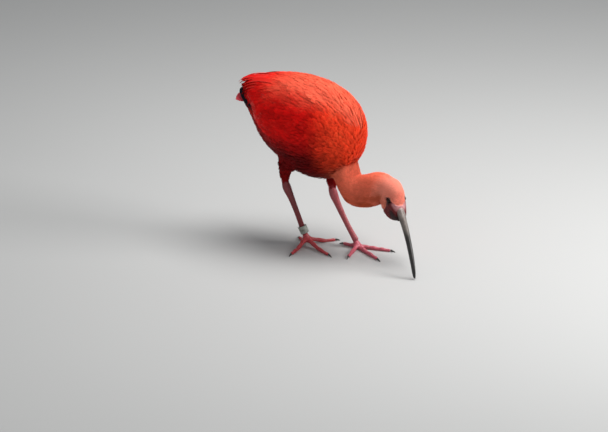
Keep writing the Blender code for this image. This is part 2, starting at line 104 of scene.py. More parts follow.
lamps = {  # right of, above and behind the bird as the camera sees it, size in metres, power
    "sky": ((0.3, 1.5, 0.2), 1.0, 24),
    "key": ((1.5, 0.75, -0.35), 0.7, 20),
    "fill": ((-1.0, 0.5, -1.3), 1.2, 2),
}


surround = {"colour": (0.93, 0.96, 1, 1), "strength": 0.26}


def makeLights():
    right, _, back = viewAxes()
    away = Vector((-back.x, -back.y, 0)).normalized()
    target = Vector((0, 0, 0.14))
    for name, ((beside, above, behind), size, power) in lamps.items():
        data = bpy.data.lights.new(name, "AREA")
        data.size = size
        data.energy = power
        lamp = bpy.data.objects.new(name, data)
        lamp.location = target + right * beside + away * behind + Vector((0, 0, above))
        aim(lamp, target)
        bpy.context.scene.collection.objects.link(lamp)
    world = bpy.data.worlds.new("studio")
    world.use_nodes = True
    shine = world.node_tree.nodes["Background"].inputs
    shine["Color"].default_value = surround["colour"]
    shine["Strength"].default_value = surround["strength"]
    bpy.context.scene.world = world
    bpy.context.scene.view_settings.view_transform = "Standard"


# a node tree in the making; a node is given numbers or the outputs of other nodes
class Tree:
    def add(self, kind, inputs=None, **settings):
        made = self.tree.nodes.new(kind)
        for name, value in settings.items():
            setattr(made, name, value)
        for name, value in (inputs or {}).items():
            if isinstance(value, bpy.types.NodeSocket):
                self.tree.links.new(value, made.inputs[name])
            else:
                made.inputs[name].default_value = value
        return made.outputs

    def math(self, operation, *values):
        return self.add("ShaderNodeMath", dict(enumerate(values)), operation=operation)[0]

    def product(self, first, *others):
        for other in others:
            first = self.math("MULTIPLY", first, other)
        return first

    def vector(self, operation, *values):
        keys = (0, "Scale") if operation == "SCALE" else range(len(values))
        inputs = dict(zip(keys, values))
        return self.add("ShaderNodeVectorMath", inputs, operation=operation)[0]


def newObject(name, mesh):
    made = bpy.data.objects.new(name, mesh)
    bpy.context.scene.collection.objects.link(made)
    return made


# a material and the shader that its nodes lead to
class Paint(Tree):
    def __init__(self, name, roughness, specular=0.5):
        self.made = bpy.data.materials.new(name)
        self.made.use_nodes = True
        self.tree = self.made.node_tree
        self.shader = self.tree.nodes["Principled BSDF"].inputs
        self.shader["Roughness"].default_value = roughness
        self.shader["Specular IOR Level"].default_value = specular

    def attribute(self, name, output="Fac"):
        return self.add("ShaderNodeAttribute", attribute_name=name)[output]

    def place(self):
        return self.add("ShaderNodeTexCoord")["Object"]

    def noise(self, scale, detail):
        inputs = {"Vector": self.place(), "Scale": scale, "Detail": detail}
        return self.add("ShaderNodeTexNoise", inputs)[0]

    def ramped(self, value, start, end, first, last):
        inputs = dict(enumerate((value, start, end, first, last)))
        return self.add("ShaderNodeMapRange", inputs)[0]

    def mixed(self, share, *colours):
        first, second = [(*c, 1) if isinstance(c, tuple) else c for c in colours]
        return self.add("ShaderNodeMix", {0: share, 6: first, 7: second}, data_type="RGBA")[2]

    # a colour from a list of places along the ramp and the colours there
    def coloured(self, share, stops):
        result = self.add("ShaderNodeValToRGB", {0: share})[0]
        elements = result.node.color_ramp.elements
        for element, (at, colour) in zip(elements, (stops[0], stops[-1])):
            element.position = at
            element.color = (*colour, 1)
        for at, colour in stops[1:-1]:
            elements.new(at).color = (*colour, 1)
        return result

    def finish(self, colour, height=None, strength=0.3, depth=0.0002):
        self.tree.links.new(colour, self.shader["Base Color"])
        if height is not None:
            inputs = {"Height": height, "Strength": strength, "Distance": depth}
            normal = self.add("ShaderNodeBump", inputs)["Normal"]
            self.tree.links.new(normal, self.shader["Normal"])
        return self.made


# a plain mesh of a helper object as its modifiers leave it; the helper goes
def meshOf(helper):
    graph = bpy.context.evaluated_depsgraph_get()
    mesh = bpy.data.meshes.new_from_object(helper.evaluated_get(graph))
    bpy.data.objects.remove(helper)
    return mesh


def meshFrom(name, corners, faces):
    mesh = bpy.data.meshes.new(name)
    mesh.from_pydata([tuple(c) for c in corners], [], faces)
    return mesh


# quads between rows of corners, each row a closed ring
def ringQuads(rows, ring, base=0):
    quads = []
    for k in range(rows - 1):
        a, b = base + k * ring, base + (k + 1) * ring
        for j in range(ring):
            following = (j + 1) % ring
            quads.append((a + j, a + following, b + following, b + j))
    return quads


# all faces outwards
def turnedOut(mesh):
    bm = bmesh.new()
    bm.from_mesh(mesh)
    bmesh.ops.recalc_face_normals(bm, faces=bm.faces)
    bm.to_mesh(mesh)
    bm.free()
    return mesh


def readOut(items, key, width, kind=np.float32):
    flat = np.empty(len(items) * width, kind)
    items.foreach_get(key, flat)
    return flat.reshape(-1, width)


def coordinates(mesh):
    return readOut(mesh.vertices, "co", 3).astype(float)


def setCoordinates(mesh, places):
    mesh.vertices.foreach_set("co", places.astype(np.float32).ravel())
    mesh.update()


def vertexNormals(mesh):
    return readOut(mesh.vertex_normals, "vector", 3).astype(float)


def edgesOf(mesh):
    return readOut(mesh.edges, "vertices", 2, np.int32)


def neighbourMean(values, edges):
    columns = values if values.ndim == 2 else values[:, None]
    total = np.empty_like(columns)
    count = np.bincount(edges.ravel(), minlength=len(columns))
    for k in range(columns.shape[1]):
        there = np.bincount(edges[:, 0], columns[edges[:, 1], k], len(columns))
        here = np.bincount(edges[:, 1], columns[edges[:, 0], k], len(columns))
        total[:, k] = (there + here) / np.maximum(count, 1)
    return total if values.ndim == 2 else total[:, 0]


def smoothed(values, edges, passes):
    for _ in range(passes):
        values = values + (neighbourMean(values, edges) - values) * 0.5
    return values


# 0 below low, 1 above high and smooth between them; high may be the smaller
def ease(low, high, values):
    share = np.clip((values - low) / (high - low), 0, 1)
    return share * share * (3 - 2 * share)


# the same for one number
def eased(low, high, value):
    return ease(low, high, np.array([value]))[0]


def blended(base, other, share):
    return base + (np.array(other) - base) * share[:, None]


# a number, a vector or a colour for each corner of a mesh
def store(mesh, name, values):
    values = np.ascontiguousarray(values, np.float32)
    width = 1 if values.ndim == 1 else values.shape[1]
    kinds = {1: ("FLOAT", "value"), 3: ("FLOAT_VECTOR", "vector"), 4: ("FLOAT_COLOR", "color")}
    kind, key = kinds[width]
    mesh.attributes.new(name, kind, "POINT").data.foreach_set(key, values.ravel())


def shade(mesh):
    mesh.polygons.foreach_set("use_smooth", [True] * len(mesh.polygons))


# lifts what would reach under the floor
def floored(mesh):
    places = coordinates(mesh)
    places[:, 2] = np.maximum(places[:, 2], 0)
    setCoordinates(mesh, places)


def dropAttributes(mesh, kept):
    for name in [a.name for a in mesh.attributes if a.name not in kept]:
        attribute = mesh.attributes.get(name)
        if attribute and not name.startswith(".") and not attribute.is_required:
            mesh.attributes.remove(attribute)


def makeFloor():
    half = 6
    corners = ((-half, -half, 0), (half, -half, 0), (half, half, 0), (-half, half, 0))
    floor = newObject("floor", meshFrom("floor", corners, [(0, 1, 2, 3)]))
    paint = Paint("paleFloor", 0.85)
    speckle = paint.add("ShaderNodeTexNoise", {"Scale": 9.0, "Detail": 4.0})[0]
    tint = paint.coloured(speckle, ((0, (0.50, 0.50, 0.49)), (1, (0.55, 0.55, 0.54))))
    floor.data.materials.append(paint.finish(tint))


makeCamera()
makeLights()
makeFloor()
report("camera, light and floor")

# the bird's own axes
spine = (  # from the bill to the tail, metres
    (0.14, -0.014, 0.088),
    (0.113, 0.004, 0.100),
    (0.078, 0.013, 0.1135),
    (0.055, 0.009, 0.107),
    (0.0345, 0.005, 0.109),
    (0.02, 0.005, 0.137),
    (-0.003, 0.005, 0.162),
    (-0.035, 0.005, 0.192),
    (-0.08, 0.005, 0.212),
    (-0.125, 0.005, 0.226),
    (-0.188, 0.005, 0.238),
)
eyeLeft, eyeRight = middle("eye_left"), middle("eye_right")
eyesMiddle = (eyeLeft + eyeRight) / 2
headLeft = (eyeLeft - eyeRight).normalized()
level = Vector((headLeft.y, -headLeft.x, 0)).normalized()
headPitch = radians(-34)  # of the line from the nape to the bill's base


# ahead and upward in the head's middle plane
def pitched(angle):
    ahead = level * cos(angle) + Vector((0, 0, sin(angle)))
    return ahead, ahead.cross(headLeft)


headAhead, headCrown = pitched(headPitch)


# ahead of, left of and above the middle between the eyes, in millimetres
def headPlaces(places):
    offset = places - np.array(eyesMiddle)
    axes = np.array([headAhead, headLeft, headCrown])
    return offset @ axes.T / mm


def onSurface(flow, normals):
    flow = flow - normals * (flow * normals).sum(1, keepdims=True)
    return flow / np.maximum(np.linalg.norm(flow, axis=1, keepdims=True), 1e-6)


# the lie of the coat before it is laid on the surface: from the bill back over the body
def flowAlong(places, pieces=6, batch=8000):
    knots = np.array(spine)
    steps = np.diff(knots, axis=0)
    shares = (np.arange(pieces) + 0.5) / pieces
    samples = (knots[:-1, None] + steps[:, None] * shares[None, :, None]).reshape(-1, 3)
    tangents = np.repeat(steps / np.linalg.norm(steps, axis=1, keepdims=True), pieces, 0)
    flow = np.zeros_like(places)
    for start in range(0, len(places), batch):
        here = slice(start, start + batch)
        apart = np.linalg.norm(places[here, None] - samples[None], axis=2)
        weight = 1 / (apart**3 + 1e-7)
        flow[here] = (weight @ tangents) / weight.sum(1, keepdims=True)
    return flow


# skin
skinSizes = {
    "voxel": 0.0014,
    "closeGap": 0.00028,  # grown by this, so that the parted solids meet
    "passes": 6,  # of smoothing all over
    "through": 0.05,  # how far the thickness is felt for
    "thinBehind": -0.095,  # only behind this
    "fineFace": -16,  # millimetres ahead of the eyes, where the finer face starts
    "fineEye": 0.0105,
    "bodyDepth": 0.0044,
    "wingDepth": 0.0042,
    "rearDepth": 0.0100,  # under the long feathers that make the outline behind
    "neckDepth": 0.0028,
    "headDepth": 0.0014,
    "thighDepth": 0.0022,
    "depthShare": 0.36,  # at most, of the local thickness
    "leastDepth": 0.0003,
}
fillets = {"wing": (70, 500), "neck": (30, 150), "leg": (30, 120)}  # reach and passes
wingCorner = {  # of its front edge: ahead, out from the middle, up
    "place": (0.021, 0.038, 0.2465),
    "reach": (0.022, 0.006),
    "passes": 150,
}
faceEdge = {  # where the feathers end on the head, millimetres from the eye
    "above": (-44, -34, -26, -20, -15, -10.5, -6, 0, 3.2, 4.6, 5.4, 6.2, 7.0, 7.8, 9),
    "ahead": (-10, -4, 0, 2, 3, 3.5, 1.5, -4.5, -3.5, 0, 6, 12, 17, 21, 40),
    "blend": 1.6,
}
pigments = {  # linear colours
    "scarlet": (0.84, 0.006, 0.005),
    # partly faded feathers, partly painted light: the top of the back painted paler where light
    # from above falls
    "back": (0.96, 0.135, 0.070),
    "breast": (0.97, 0.060, 0.018),
    # painted shade: the belly colour is mostly the shade of the underside painted in, over a
    # slightly deeper red
    "belly": (0.15, 0.002, 0.003),
    "neck": (0.90, 0.180, 0.100),
    "crown": (0.97, 0.300, 0.210),
    # brown mottling below and behind the eye, partly painted shade; also the painted shade under
    # the throat and neck
    "cheek": (0.50, 0.075, 0.028),
    # painted shade: the thighs under the body are painted dark red
    "thigh": (0.26, 0.003, 0.004),
    # painted highlight: a pinkish-white streak along the wing's rear edge
    "edge": (0.86, 0.27, 0.26),
    # painted shade: near black in the gap between the wing tips and the tail
    "notch": (0.020, 0.004, 0.006),
    "face": (0.14, 0.007, 0.009),
    "chin": (0.022, 0.008, 0.008),
    "lores": (0.50, 0.215, 0.220),
    "orbit": (0.17, 0.090, 0.085),
    # painted shade: the inner rim of the lids, nearly black as the shadow round the opening
    "shadedLidRim": (0.035, 0.014, 0.014),
    "leg": (0.52, 0.095, 0.110),
    # painted shade: the right leg and foot are shaded copies of the left one's pink
    "shadedRightLeg": (0.27, 0.030, 0.036),
    "foot": (0.70, 0.130, 0.175),
    "shadedRightFoot": (0.62, 0.065, 0.075),
}
neckNodes = ["neck_lower", "neck_middle", "neck_upper"]
bodyNodes = ["trunk", "wing_left", "wing_right", *neckNodes, "head"]
thighNodes = ["thigh_left", "thigh_right"]
footNodes = [f"toe_{toe}_{side}" for toe in toes for side in sides]
footNodes += [f"foot_{side}" for side in sides]
legNodes = [f"{part}_{side}" for part in ("shank", "tarsus") for side in sides] + footNodes
fleshNodes = bodyNodes + thighNodes + legNodes


def mergedNode(node):
    bm = bmesh.new()
    bm.from_mesh(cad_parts[node].data)
    bmesh.ops.remove_doubles(bm, verts=bm.verts, dist=1e-6)
    bm.normal_update()
    return bm


def grownNode(node, distance):
    bm = mergedNode(node)
    for vertex, normal in [(v, v.normal.copy()) for v in bm.verts]:
        vertex.co += normal * distance
    return takenMesh(bm, node)


def takenMesh(bm, name):
    mesh = bpy.data.meshes.new(name)
    bm.to_mesh(mesh)
    bm.free()
    return mesh


def joined(meshes, name="joined"):
    bm = bmesh.new()
    for mesh in meshes:
        bm.from_mesh(mesh)
    return takenMesh(bm, name)


# a search tree over some CAD nodes, with the number of the node of each face
def treeOf(names):
    corners, faces, owners = [], [], []
    for number, name in enumerate(names):
        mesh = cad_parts[name].data
        base = len(corners)
        corners += [v.co.copy() for v in mesh.vertices]
        faces += [[base + k for k in p.vertices] for p in mesh.polygons]
        owners += [number] * len(mesh.polygons)
    return BVHTree.FromPolygons(corners, faces), owners


def nearestNames(places, names):
    tree, owners = treeOf(names)
    return np.array([names[owners[tree.find_nearest(Vector(p))[2]]] for p in places])


# divides the faces whose corners are all chosen
def refine(mesh, chosen):
    bm = bmesh.new()
    bm.from_mesh(mesh)
    edges = set()
    for face in bm.faces:
        if all(chosen[v.index] for v in face.verts):
            edges.update(face.edges)
    bmesh.ops.subdivide_edges(bm, edges=list(edges), cuts=1, use_grid_fill=True)
    bm.to_mesh(mesh)
    bm.free()
    return mesh


def rawSkin():
    filled = [*fleshNodes, "eye_left", "eye_right"]
    lump = newObject("lump", joined([grownNode(n, skinSizes["closeGap"]) for n in filled]))
    remesh = lump.modifiers.new("voxels", "REMESH")
    remesh.mode = "VOXEL"
    remesh.voxel_size = skinSizes["voxel"]
    return meshOf(lump)


# fills the creases where the parts of the body meet
def fillet(places, names, edges):
    onLeg = np.isin(names, legNodes)
    members = {
        "wing": np.char.startswith(names, "wing"),
        "neck": np.isin(names, [*neckNodes, "head"]),
        "leg": onLeg | np.isin(names, thighNodes),
    }
    for part, member in members.items():
        reach, passes = fillets[part]
        spread = smoothed(member.astype(float), edges, reach)
        crease = 4 * spread * (1 - spread) * ~onLeg
        crease = np.where(crease > 0.02, smoothed(crease, edges, 4), 0)
        places = relaxed(places, edges, crease, passes)
    ahead, beside, height = wingCorner["place"]
    for hand in hands.values():
        corner = np.array((ahead, feetMiddle.y + hand * beside, height))
        near = ease(*wingCorner["reach"], np.linalg.norm(places - corner, axis=1))
        places = relaxed(places, edges, near, wingCorner["passes"])
    return places


# smooths only the places where the crease is above nothing
def relaxed(places, edges, crease, passes):
    touched = crease[edges].max(axis=1) > 0
    near = np.unique(edges[touched])
    renumbered = np.full(len(places), -1)
    renumbered[near] = np.arange(len(near))
    local, localEdges = places[near], renumbered[edges[touched]]
    pull = 0.5 * crease[near][:, None]
    for _ in range(passes):
        local = local + (neighbourMean(local, localEdges) - local) * pull
    places = places.copy()
    places[near] = local
    return places


# 1 on the bare skin round the eye, before it and under the chin
def bareFace(places):
    ahead, _, above = headPlaces(places).T
    edge = np.interp(above, faceEdge["above"], faceEdge["ahead"])
    return ease(edge - faceEdge["blend"], edge + faceEdge["blend"], ahead)


# how much of each region a vertex belongs to, blurred across the borders
def regionsOf(places, names, edges):
    exact = {
        "wing": np.char.startswith(names, "wing"),
        "neck": np.isin(names, neckNodes),
        "head": names == "head",
        "thigh": np.isin(names, thighNodes),
        "leg": np.isin(names, legNodes),
        "foot": np.isin(names, footNodes),
        # the right leg and foot, painted as the shaded copies
        "right": np.char.endswith(names, "_right"),
    }
    exact = {key: value.astype(float) for key, value in exact.items()}
    region = {key: smoothed(value, edges, 12) for key, value in exact.items()}
    for key, reach in (("neck", 90), ("head", 60), ("leg", 40)):
        region[key + "Wide"] = smoothed(exact[key], edges, reach)
    region["legWide"] *= exact["thigh"]
    region["face"] = bareFace(places) * ease(0.3, 0.6, region["head"])
    region["bare"] = np.maximum(region["face"], ease(0.4, 0.8, region["leg"]))
    return region


# the curved middle line of the trunk, at any x
def trunkMiddle(x):
    along = (x + 0.060) / 0.112
    height = 0.2035 - 0.018 * along + 0.0145 * along**2
    return np.stack([x, np.full_like(x, feetMiddle.y), height], -1)


# degrees off the top, round the trunk's middle line
def offTop(places):
    offset = places - trunkMiddle(np.clip(places[:, 0], -0.185, 0.065))
    return np.degrees(np.arctan2(np.abs(offset[:, 1]), offset[:, 2]))


# where things are on the bird: metres, degrees off the top, millimetres from the eyes, and
# how far the surface faces up
def measuresOf(places, normals):
    ahead, _, above = headPlaces(places).T
    x, _, z = places.T
    return {
        "x": x, "z": z, "angle": offTop(places), "ahead": ahead, "above": above,
        "up": normals[:, 2], "fromEye": np.hypot(ahead, above),
    }


zones = {  # each a product of fades: a measure, where the share is 0 and where it is 1
    # low and shadedUnderside: the lower, downward-facing body, where the belly colour paints in
    # shade
    "low": (("z", 0.205, 0.150), ("up", 0.45, -0.30)),
    "shadedUnderside": (("angle", 95, 130),),
    "breast": (("x", -0.010, 0.040), ("z", 0.115, 0.150)),
    # the top of the back, partly faded and partly painted light
    "fadedAndLitBack": (("angle", 60, 22), ("x", -0.118, -0.030)),
    # where the highlight along the wing's rear edge is painted
    "paintedHighlightEdge": (("x", -0.103, -0.112), ("angle", 66, 76), ("angle", 110, 96)),
    # the gap between the wing tips and the tail, painted as shade
    "notch": (("x", -0.143, -0.150), ("angle", 76, 68), ("angle", 20, 32)),
    "cheek": (("above", 4, -14), ("ahead", 2, -10)),
    # throat: the downward-facing neck and head, darkened as painted shade
    "throat": (("up", 0.2, -0.6),),
    "lores": (("ahead", 8, 15), ("above", 0, 4.5)),
    "orbit": (("fromEye", 10.0, 6.5),),
    "rear": (("x", -0.120, -0.175),),
    "top": (("angle", 75, 35),),
    "plumeEnds": (("x", -0.085, -0.138),),
    "rump": (("x", -0.045, -0.085),),
    "saddle": (("x", -0.120, -0.090), ("x", 0.040, -0.005)),
    "side": (("angle", 20, 60),),
    "hanging": (("x", 0.035, -0.095), ("angle", 125, 85)),
    "parting": (("angle", 0, 25), ("x", 0.055, -0.045)),
    "longSide": (("x", -0.015, -0.115),),
    "longBack": (("angle", 70, 35), ("x", 0.060, 0.005)),
    "backEnd": (("x", -0.136, -0.151),),
    "wingSide": (("angle", 45, 75),),
    "wingRear": (("x", -0.025, -0.115),),
    "foreFace": (("ahead", -18, 12),),
    "underTertials": (("x", -0.116, -0.124), ("angle", 76, 68)),
    "underSecondaries": (("x", -0.126, -0.134), ("angle", 90, 82)),
    "backCoat": (("angle", 56, 50), ("x", -0.159, -0.151)),
    "wingCoat": (("angle", 118, 108), ("x", -0.155, -0.145), ("x", 0.025, 0.015)),
    "rearCoat": (("x", -0.145, -0.155), ("angle", 95, 85)),
    "breastCoat": (("x", -0.015, -0.005),),
    "offFloor": (("z", 0.0004, 0.0014),),
}


def inZone(name, at):
    share = 1
    for measure, none, full in zones[name]:
        share = share * ease(none, full, at[measure])
    return share


def coatDepth(at, region):
    depth = np.full(len(at["x"]), skinSizes["bodyDepth"])
    shares = {key: region[key] for key in ("wing", "neck", "head", "thigh")}
    shares["rear"] = inZone("rear", at)
    for key, share in shares.items():
        depth += (skinSizes[key + "Depth"] - depth) * share
    return depth * (1 - region["bare"]) * ease(0.30, 0.02, region["legWide"])


# metres that the feathers of the top stand over or under the solids' own outline
outlineHeights = {"plumeEnds": 0.0044, "rump": 0.0012, "saddle": -0.0014}


def outlineLift(at):
    return inZone("top", at) * sum(h * inZone(name, at) for name, h in outlineHeights.items())


# how far the skin is through to its other side, where it may be thin
def thicknessOf(mesh, places, normals, edges):
    tree = BVHTree.FromPolygons(places.tolist(), [list(p.vertices) for p in mesh.polygons])
    deepest = skinSizes["through"]
    thick = np.full(len(places), deepest)
    for k in np.flatnonzero(places[:, 0] < skinSizes["thinBehind"]):
        inward = -Vector(normals[k])
        reach = tree.ray_cast(Vector(places[k]) + inward * 0.0006, inward, deepest)[3]
        if reach is not None:
            thick[k] = reach
    return smoothed(thick, edges, 4)


lie = {"hang": 0.42, "part": 0.16, "thigh": (0.12, 0.0, -1.0)}


# the direction in which the feathers lie on the skin, tips last
def layOf(places, normals, region, at):
    flow = blended(flowAlong(places), lie["thigh"], region["thigh"])
    onSide = inZone("side", at) * (1 - region["neckWide"]) * (1 - region["thigh"])
    flow[:, 2] -= lie["hang"] * onSide * inZone("hanging", at)
    flow[:, 1] += lie["part"] * np.sign(places[:, 1] - feetMiddle.y) * inZone("parting", at)
    return onSurface(flow, normals)


def noiseAt(places, scale, shift):
    return np.array([noise.noise(Vector(p)) for p in places / np.array(scale) + shift])


# wavy streaks along the body, about -1 to 1; in the pigment they are partly real streaking, partly
# painted light and shade of the feather locks
def streaksOf(places):
    x, y, z = places.T
    wave = 0.010 * np.sin(x / 0.018 + y / 0.02) + 0.006 * np.sin(x / 0.009 + z / 0.012)
    wavy = np.stack([x, y, z + wave - 0.25 * x], -1)
    broad = noiseAt(wavy, (0.050, 0.011, 0.010), 3.1)
    return broad + 0.6 * noiseAt(wavy, (0.022, 0.006, 0.005), 7.7)


# lays each pigment over the ones before it, as far as its share says
def layered(colour, layers):
    for name, share in layers:
        colour = blended(colour, pigments[name], share)
    return colour


def featherPigment(places, region, at):
    wide = region["neckWide"] + region["headWide"]
    patchy = noiseAt(places, (0.012, 0.008, 0.008), 5.5)
    cheek = region["headWide"] * inZone("cheek", at)
    throat = wide * inZone("throat", at)
    return layered(np.tile(pigments["scarlet"], (len(places), 1)), (
        # painted shade on the lower and downward-facing body
        ("belly", np.maximum(inZone("low", at), 0.8 * inZone("shadedUnderside", at))),
        ("breast", inZone("breast", at)),
        # paler top of the back: partly faded feathers, partly painted light from above
        ("back", 0.9 * inZone("fadedAndLitBack", at)),
        # painted highlight along the wing's rear edge
        ("edge", 0.8 * inZone("paintedHighlightEdge", at)),
        # painted shade in the gap between the wing tips and the tail
        ("notch", inZone("notch", at)),
        # painted shade on the thighs under the body
        ("thigh", region["thigh"]),
        ("neck", ease(0.25, 0.90, wide)),
        ("crown", region["headWide"]),
        # cheek: partly mottling, partly painted shade below and behind the eye
        ("cheek", np.clip(cheek * (0.85 + patchy), 0, 1)),
        # painted shade under the throat and neck, in the cheek colour
        ("cheek", np.clip(throat * (0.6 + patchy), 0, 0.9)),
    ))


def pigmentOf(places, region, at):
    streak = streaksOf(places) * (1 - region["leg"])
    feathered = (1 - region["headWide"]) * (1 - 0.6 * region["neckWide"])
    colour = featherPigment(places, region, at)
    # brighter and darker strands: partly real streaking, partly painted light and shade of the
    # feather locks
    colour = colour * (1 + 0.42 * np.clip(streak, -0.8, 0.8) * feathered)[:, None]
    chin = ease(11, 20, at["ahead"] + 0.3 * (at["above"] + 8)) * ease(-1, -7, at["above"])
    bare = {"face": 1, "lores": inZone("lores", at), "chin": chin, "orbit": inZone("orbit", at)}
    colour = layered(colour, [(name, region["face"] * share) for name, share in bare.items()])
    # painted shade: the right leg and foot get darker copies of the pink
    for part, right in (("leg", "shadedRightLeg"), ("foot", "shadedRightFoot")):
        own = np.tile(pigments[part], (len(places), 1))
        own = blended(own, pigments[right], region["right"])
        colour = colour + (own - colour) * region[part][:, None]
    return np.clip(colour, 0, 0.97)


featherLengths = {
    "side": 0.019,
    "sideRear": 0.026,
    "back": 0.034,
    "wing": 0.020,
    "wingRear": 0.032,
    "thigh": 0.011,
    "neck": 0.0095,
    "head": 0.0052,
    "face": 0.0030,  # by the bill
    "leg": 0.0024,
    "foot": 0.0018,
}


# metres, longest on the back and under the tail, shortest by the bill
def featherLength(region, at):
    own = featherLengths
    length = own["side"] + (own["sideRear"] - own["side"]) * inZone("longSide", at)
    length += (own["back"] - length) * inZone("longBack", at)
    length *= 1 - 0.5 * inZone("backEnd", at)
    onWing = own["wing"] + (own["wingRear"] - own["wing"]) * inZone("wingRear", at)
    length += (onWing - length) * region["wing"] * inZone("wingSide", at)
    length += (own["thigh"] - length) * region["thigh"]
    length += (own["neck"] - length) * ease(0.1, 0.9, region["neckWide"])
    length += (own["head"] - length) * region["head"]
    length -= (own["head"] - own["face"]) * inZone("foreFace", at) * region["head"]
    scale = own["leg"] - (own["leg"] - own["foot"]) * region["foot"]
    return length + (scale - length) * ease(0.4, 0.8, region["leg"])


# the plates on the front of the legs and the top of the toes are wider than long
def plateBreadth(normals, region):
    outward = normals[:, 0] * (1 - region["foot"]) + normals[:, 2] * region["foot"]
    return 1 + 1.3 * ease(0.15, 0.75, outward) * ease(0.4, 0.8, region["leg"])


def border(share):
    return ease(0.45, 0.55, share)


# where each coat grows; the flight feathers lie over what is left bare
def coatMasks(places, region, thick, at):
    onHead = border(region["head"])
    onNeck = border(region["neck"] + region["head"]) * (1 - onHead)
    onThigh = border(region["thigh"])
    rest = np.clip(1 - onHead - onNeck - onThigh - ease(0.3, 0.5, region["leg"]), 0, 1)
    onBack = rest * inZone("backCoat", at)
    onWing = rest * (1 - onBack) * inZone("wingCoat", at)
    rear = rest * (1 - onBack) * inZone("rearCoat", at)
    onBreast = (rest - onBack - onWing) * inZone("breastCoat", at)
    onBelly = rest - onBack - onWing - rear - onBreast
    outside = 1 - np.maximum(inZone("underTertials", at), inZone("underSecondaries", at))
    left = places[:, 1] > feetMiddle.y
    masks = {
        "onHead": onHead, "onNeck": onNeck, "onThigh": onThigh, "onBack": onBack,
        "onLeftWing": onWing * left * outside, "onRightWing": onWing * ~left * outside,
        "onBreast": onBreast, "onBelly": onBelly * outside,
    }
    feathered = (1 - ease(0.2, 0.6, region["bare"])) * ease(0.006, 0.010, thick)
    masks = {key: np.clip(mask, 0, 1) * feathered for key, mask in masks.items()}
    onLeg = region["bare"] * ease(0.5, 0.9, region["leg"])
    return {**masks, "onLeg": onLeg * inZone("offFloor", at)}


lidSizes = {
    "profile": (  # outward from the opening's edge, over the eyeball's surface, millimetres
        (-0.10, -0.25), (0.05, 0.20), (0.40, 0.36), (0.85, 0.26), (1.35, -0.06), (2.0, -0.8),
    ),
    "halfWidth": 5.0,  # of the opening
    "halfHeight": 3.9,
    "tilt": -8,  # degrees, the front corner lower
    "around": 64,
    "eyeRadius": 5.5,
    "sink": 0.9,
    "forward": 27,  # degrees that the eyes look forward, then upward
    "upward": 9,
    "set": 0.0014,  # metres that they are set in
}


# along the opening, above it and out of the eye
def eyeAxes(hand):
    turn, lift = radians(lidSizes["forward"]), radians(lidSizes["upward"])
    out = headLeft * hand * cos(turn) + headAhead * sin(turn)
    along = headAhead * cos(turn) - headLeft * hand * sin(turn)
    return along, headCrown * cos(lift) - out * sin(lift), out * cos(lift) + headCrown * sin(lift)


def eyeCentre(hand):
    return (eyeLeft if hand > 0 else eyeRight) - eyeAxes(hand)[2] * lidSizes["set"]


# places on and over one eyeball from distances along and above the middle of its outer side
def overEye(hand, along, above, over):
    radius = lidSizes["eyeRadius"] + over
    reach = np.minimum(np.hypot(along, above), radius * 0.999)
    out = np.sqrt(radius**2 - reach**2)
    offset = np.stack([along, above, out], -1) @ np.array(eyeAxes(hand))
    return np.array(eyeCentre(hand)) + offset * mm


# the rim of the eyelids, an almond-shaped ring that closes round the eyeball
def lidMesh(hand, name):
    turn = np.linspace(0, 2 * pi, lidSizes["around"], endpoint=False)
    tilt = radians(lidSizes["tilt"])
    pinch = 1 - 0.16 * np.abs(np.cos(turn)) ** 6
    wide = lidSizes["halfWidth"] * np.cos(turn)
    high = lidSizes["halfHeight"] * np.sin(turn) * pinch
    rings = []
    for outward, over in lidSizes["profile"]:
        grown = 1 + outward / np.hypot(wide, high)
        fold = 0.10 * np.sin(turn * 2 + 0.6) * (outward > 0.4)
        along = wide * grown * cos(tilt) - high * grown * sin(tilt)
        above = wide * grown * sin(tilt) + high * grown * cos(tilt)
        rings.append(overEye(hand, along, above, over + fold))
    quads = ringQuads(len(rings), len(turn))
    return meshFrom(name, np.concatenate(rings), [q if hand < 0 else q[::-1] for q in quads])


# draws the skin in under each eyeball's open part, so that only the lids and the ball show
def openEyes(places):
    depth = (lidSizes["eyeRadius"] - lidSizes["sink"]) ** 2
    for hand in hands.values():
        axes = np.array(eyeAxes(hand))
        along, above, out = ((places - np.array(eyeCentre(hand))) @ axes.T / mm).T
        reach = np.hypot(along, above * 1.1)
        wanted = np.sqrt(np.maximum(depth - reach**2, 0.6))
        share = ease(8.2, 5.0, reach) * (out > 0)
        move = (wanted - out) * share * (wanted < out)
        places = places + np.outer(move * mm, axes[2])
    return places


faceCreases = {  # millimetres
    "gapeAhead": (6, 10, 20, 30),
    "gapeAbove": (-8.6, -7.0, -4.2, -2.3),
    "gapeWidth": 0.7,
    "gapeDepth": 0.6,
    "foldHeight": 0.22,
    "cheekWidth": 1.1,
    "cheekDepth": 0.30,
}


# the line of the gape behind the bill and the soft folds of the throat
def creaseFace(places, normals, face):
    size = faceCreases
    ahead, _, above = headPlaces(places).T
    gape = np.interp(ahead, size["gapeAhead"], size["gapeAbove"])
    line = np.exp(-(((above - gape) / size["gapeWidth"]) ** 2)) * ease(6, 10, ahead) * face
    lower = ease(gape - 3.0, gape - 6.0, above) * face
    folds = lower * np.sin(above * 2.4 + ahead * 0.5 + np.sin(ahead * 0.7))
    behind = ahead + 2.5 + 0.25 * (above + 12)
    cheekFold = np.exp(-((behind / size["cheekWidth"]) ** 2)) * ease(-7, -11, above) * face
    move = size["foldHeight"] * folds - size["cheekDepth"] * cheekFold - size["gapeDepth"] * line
    return places + normals * (move * mm)[:, None]


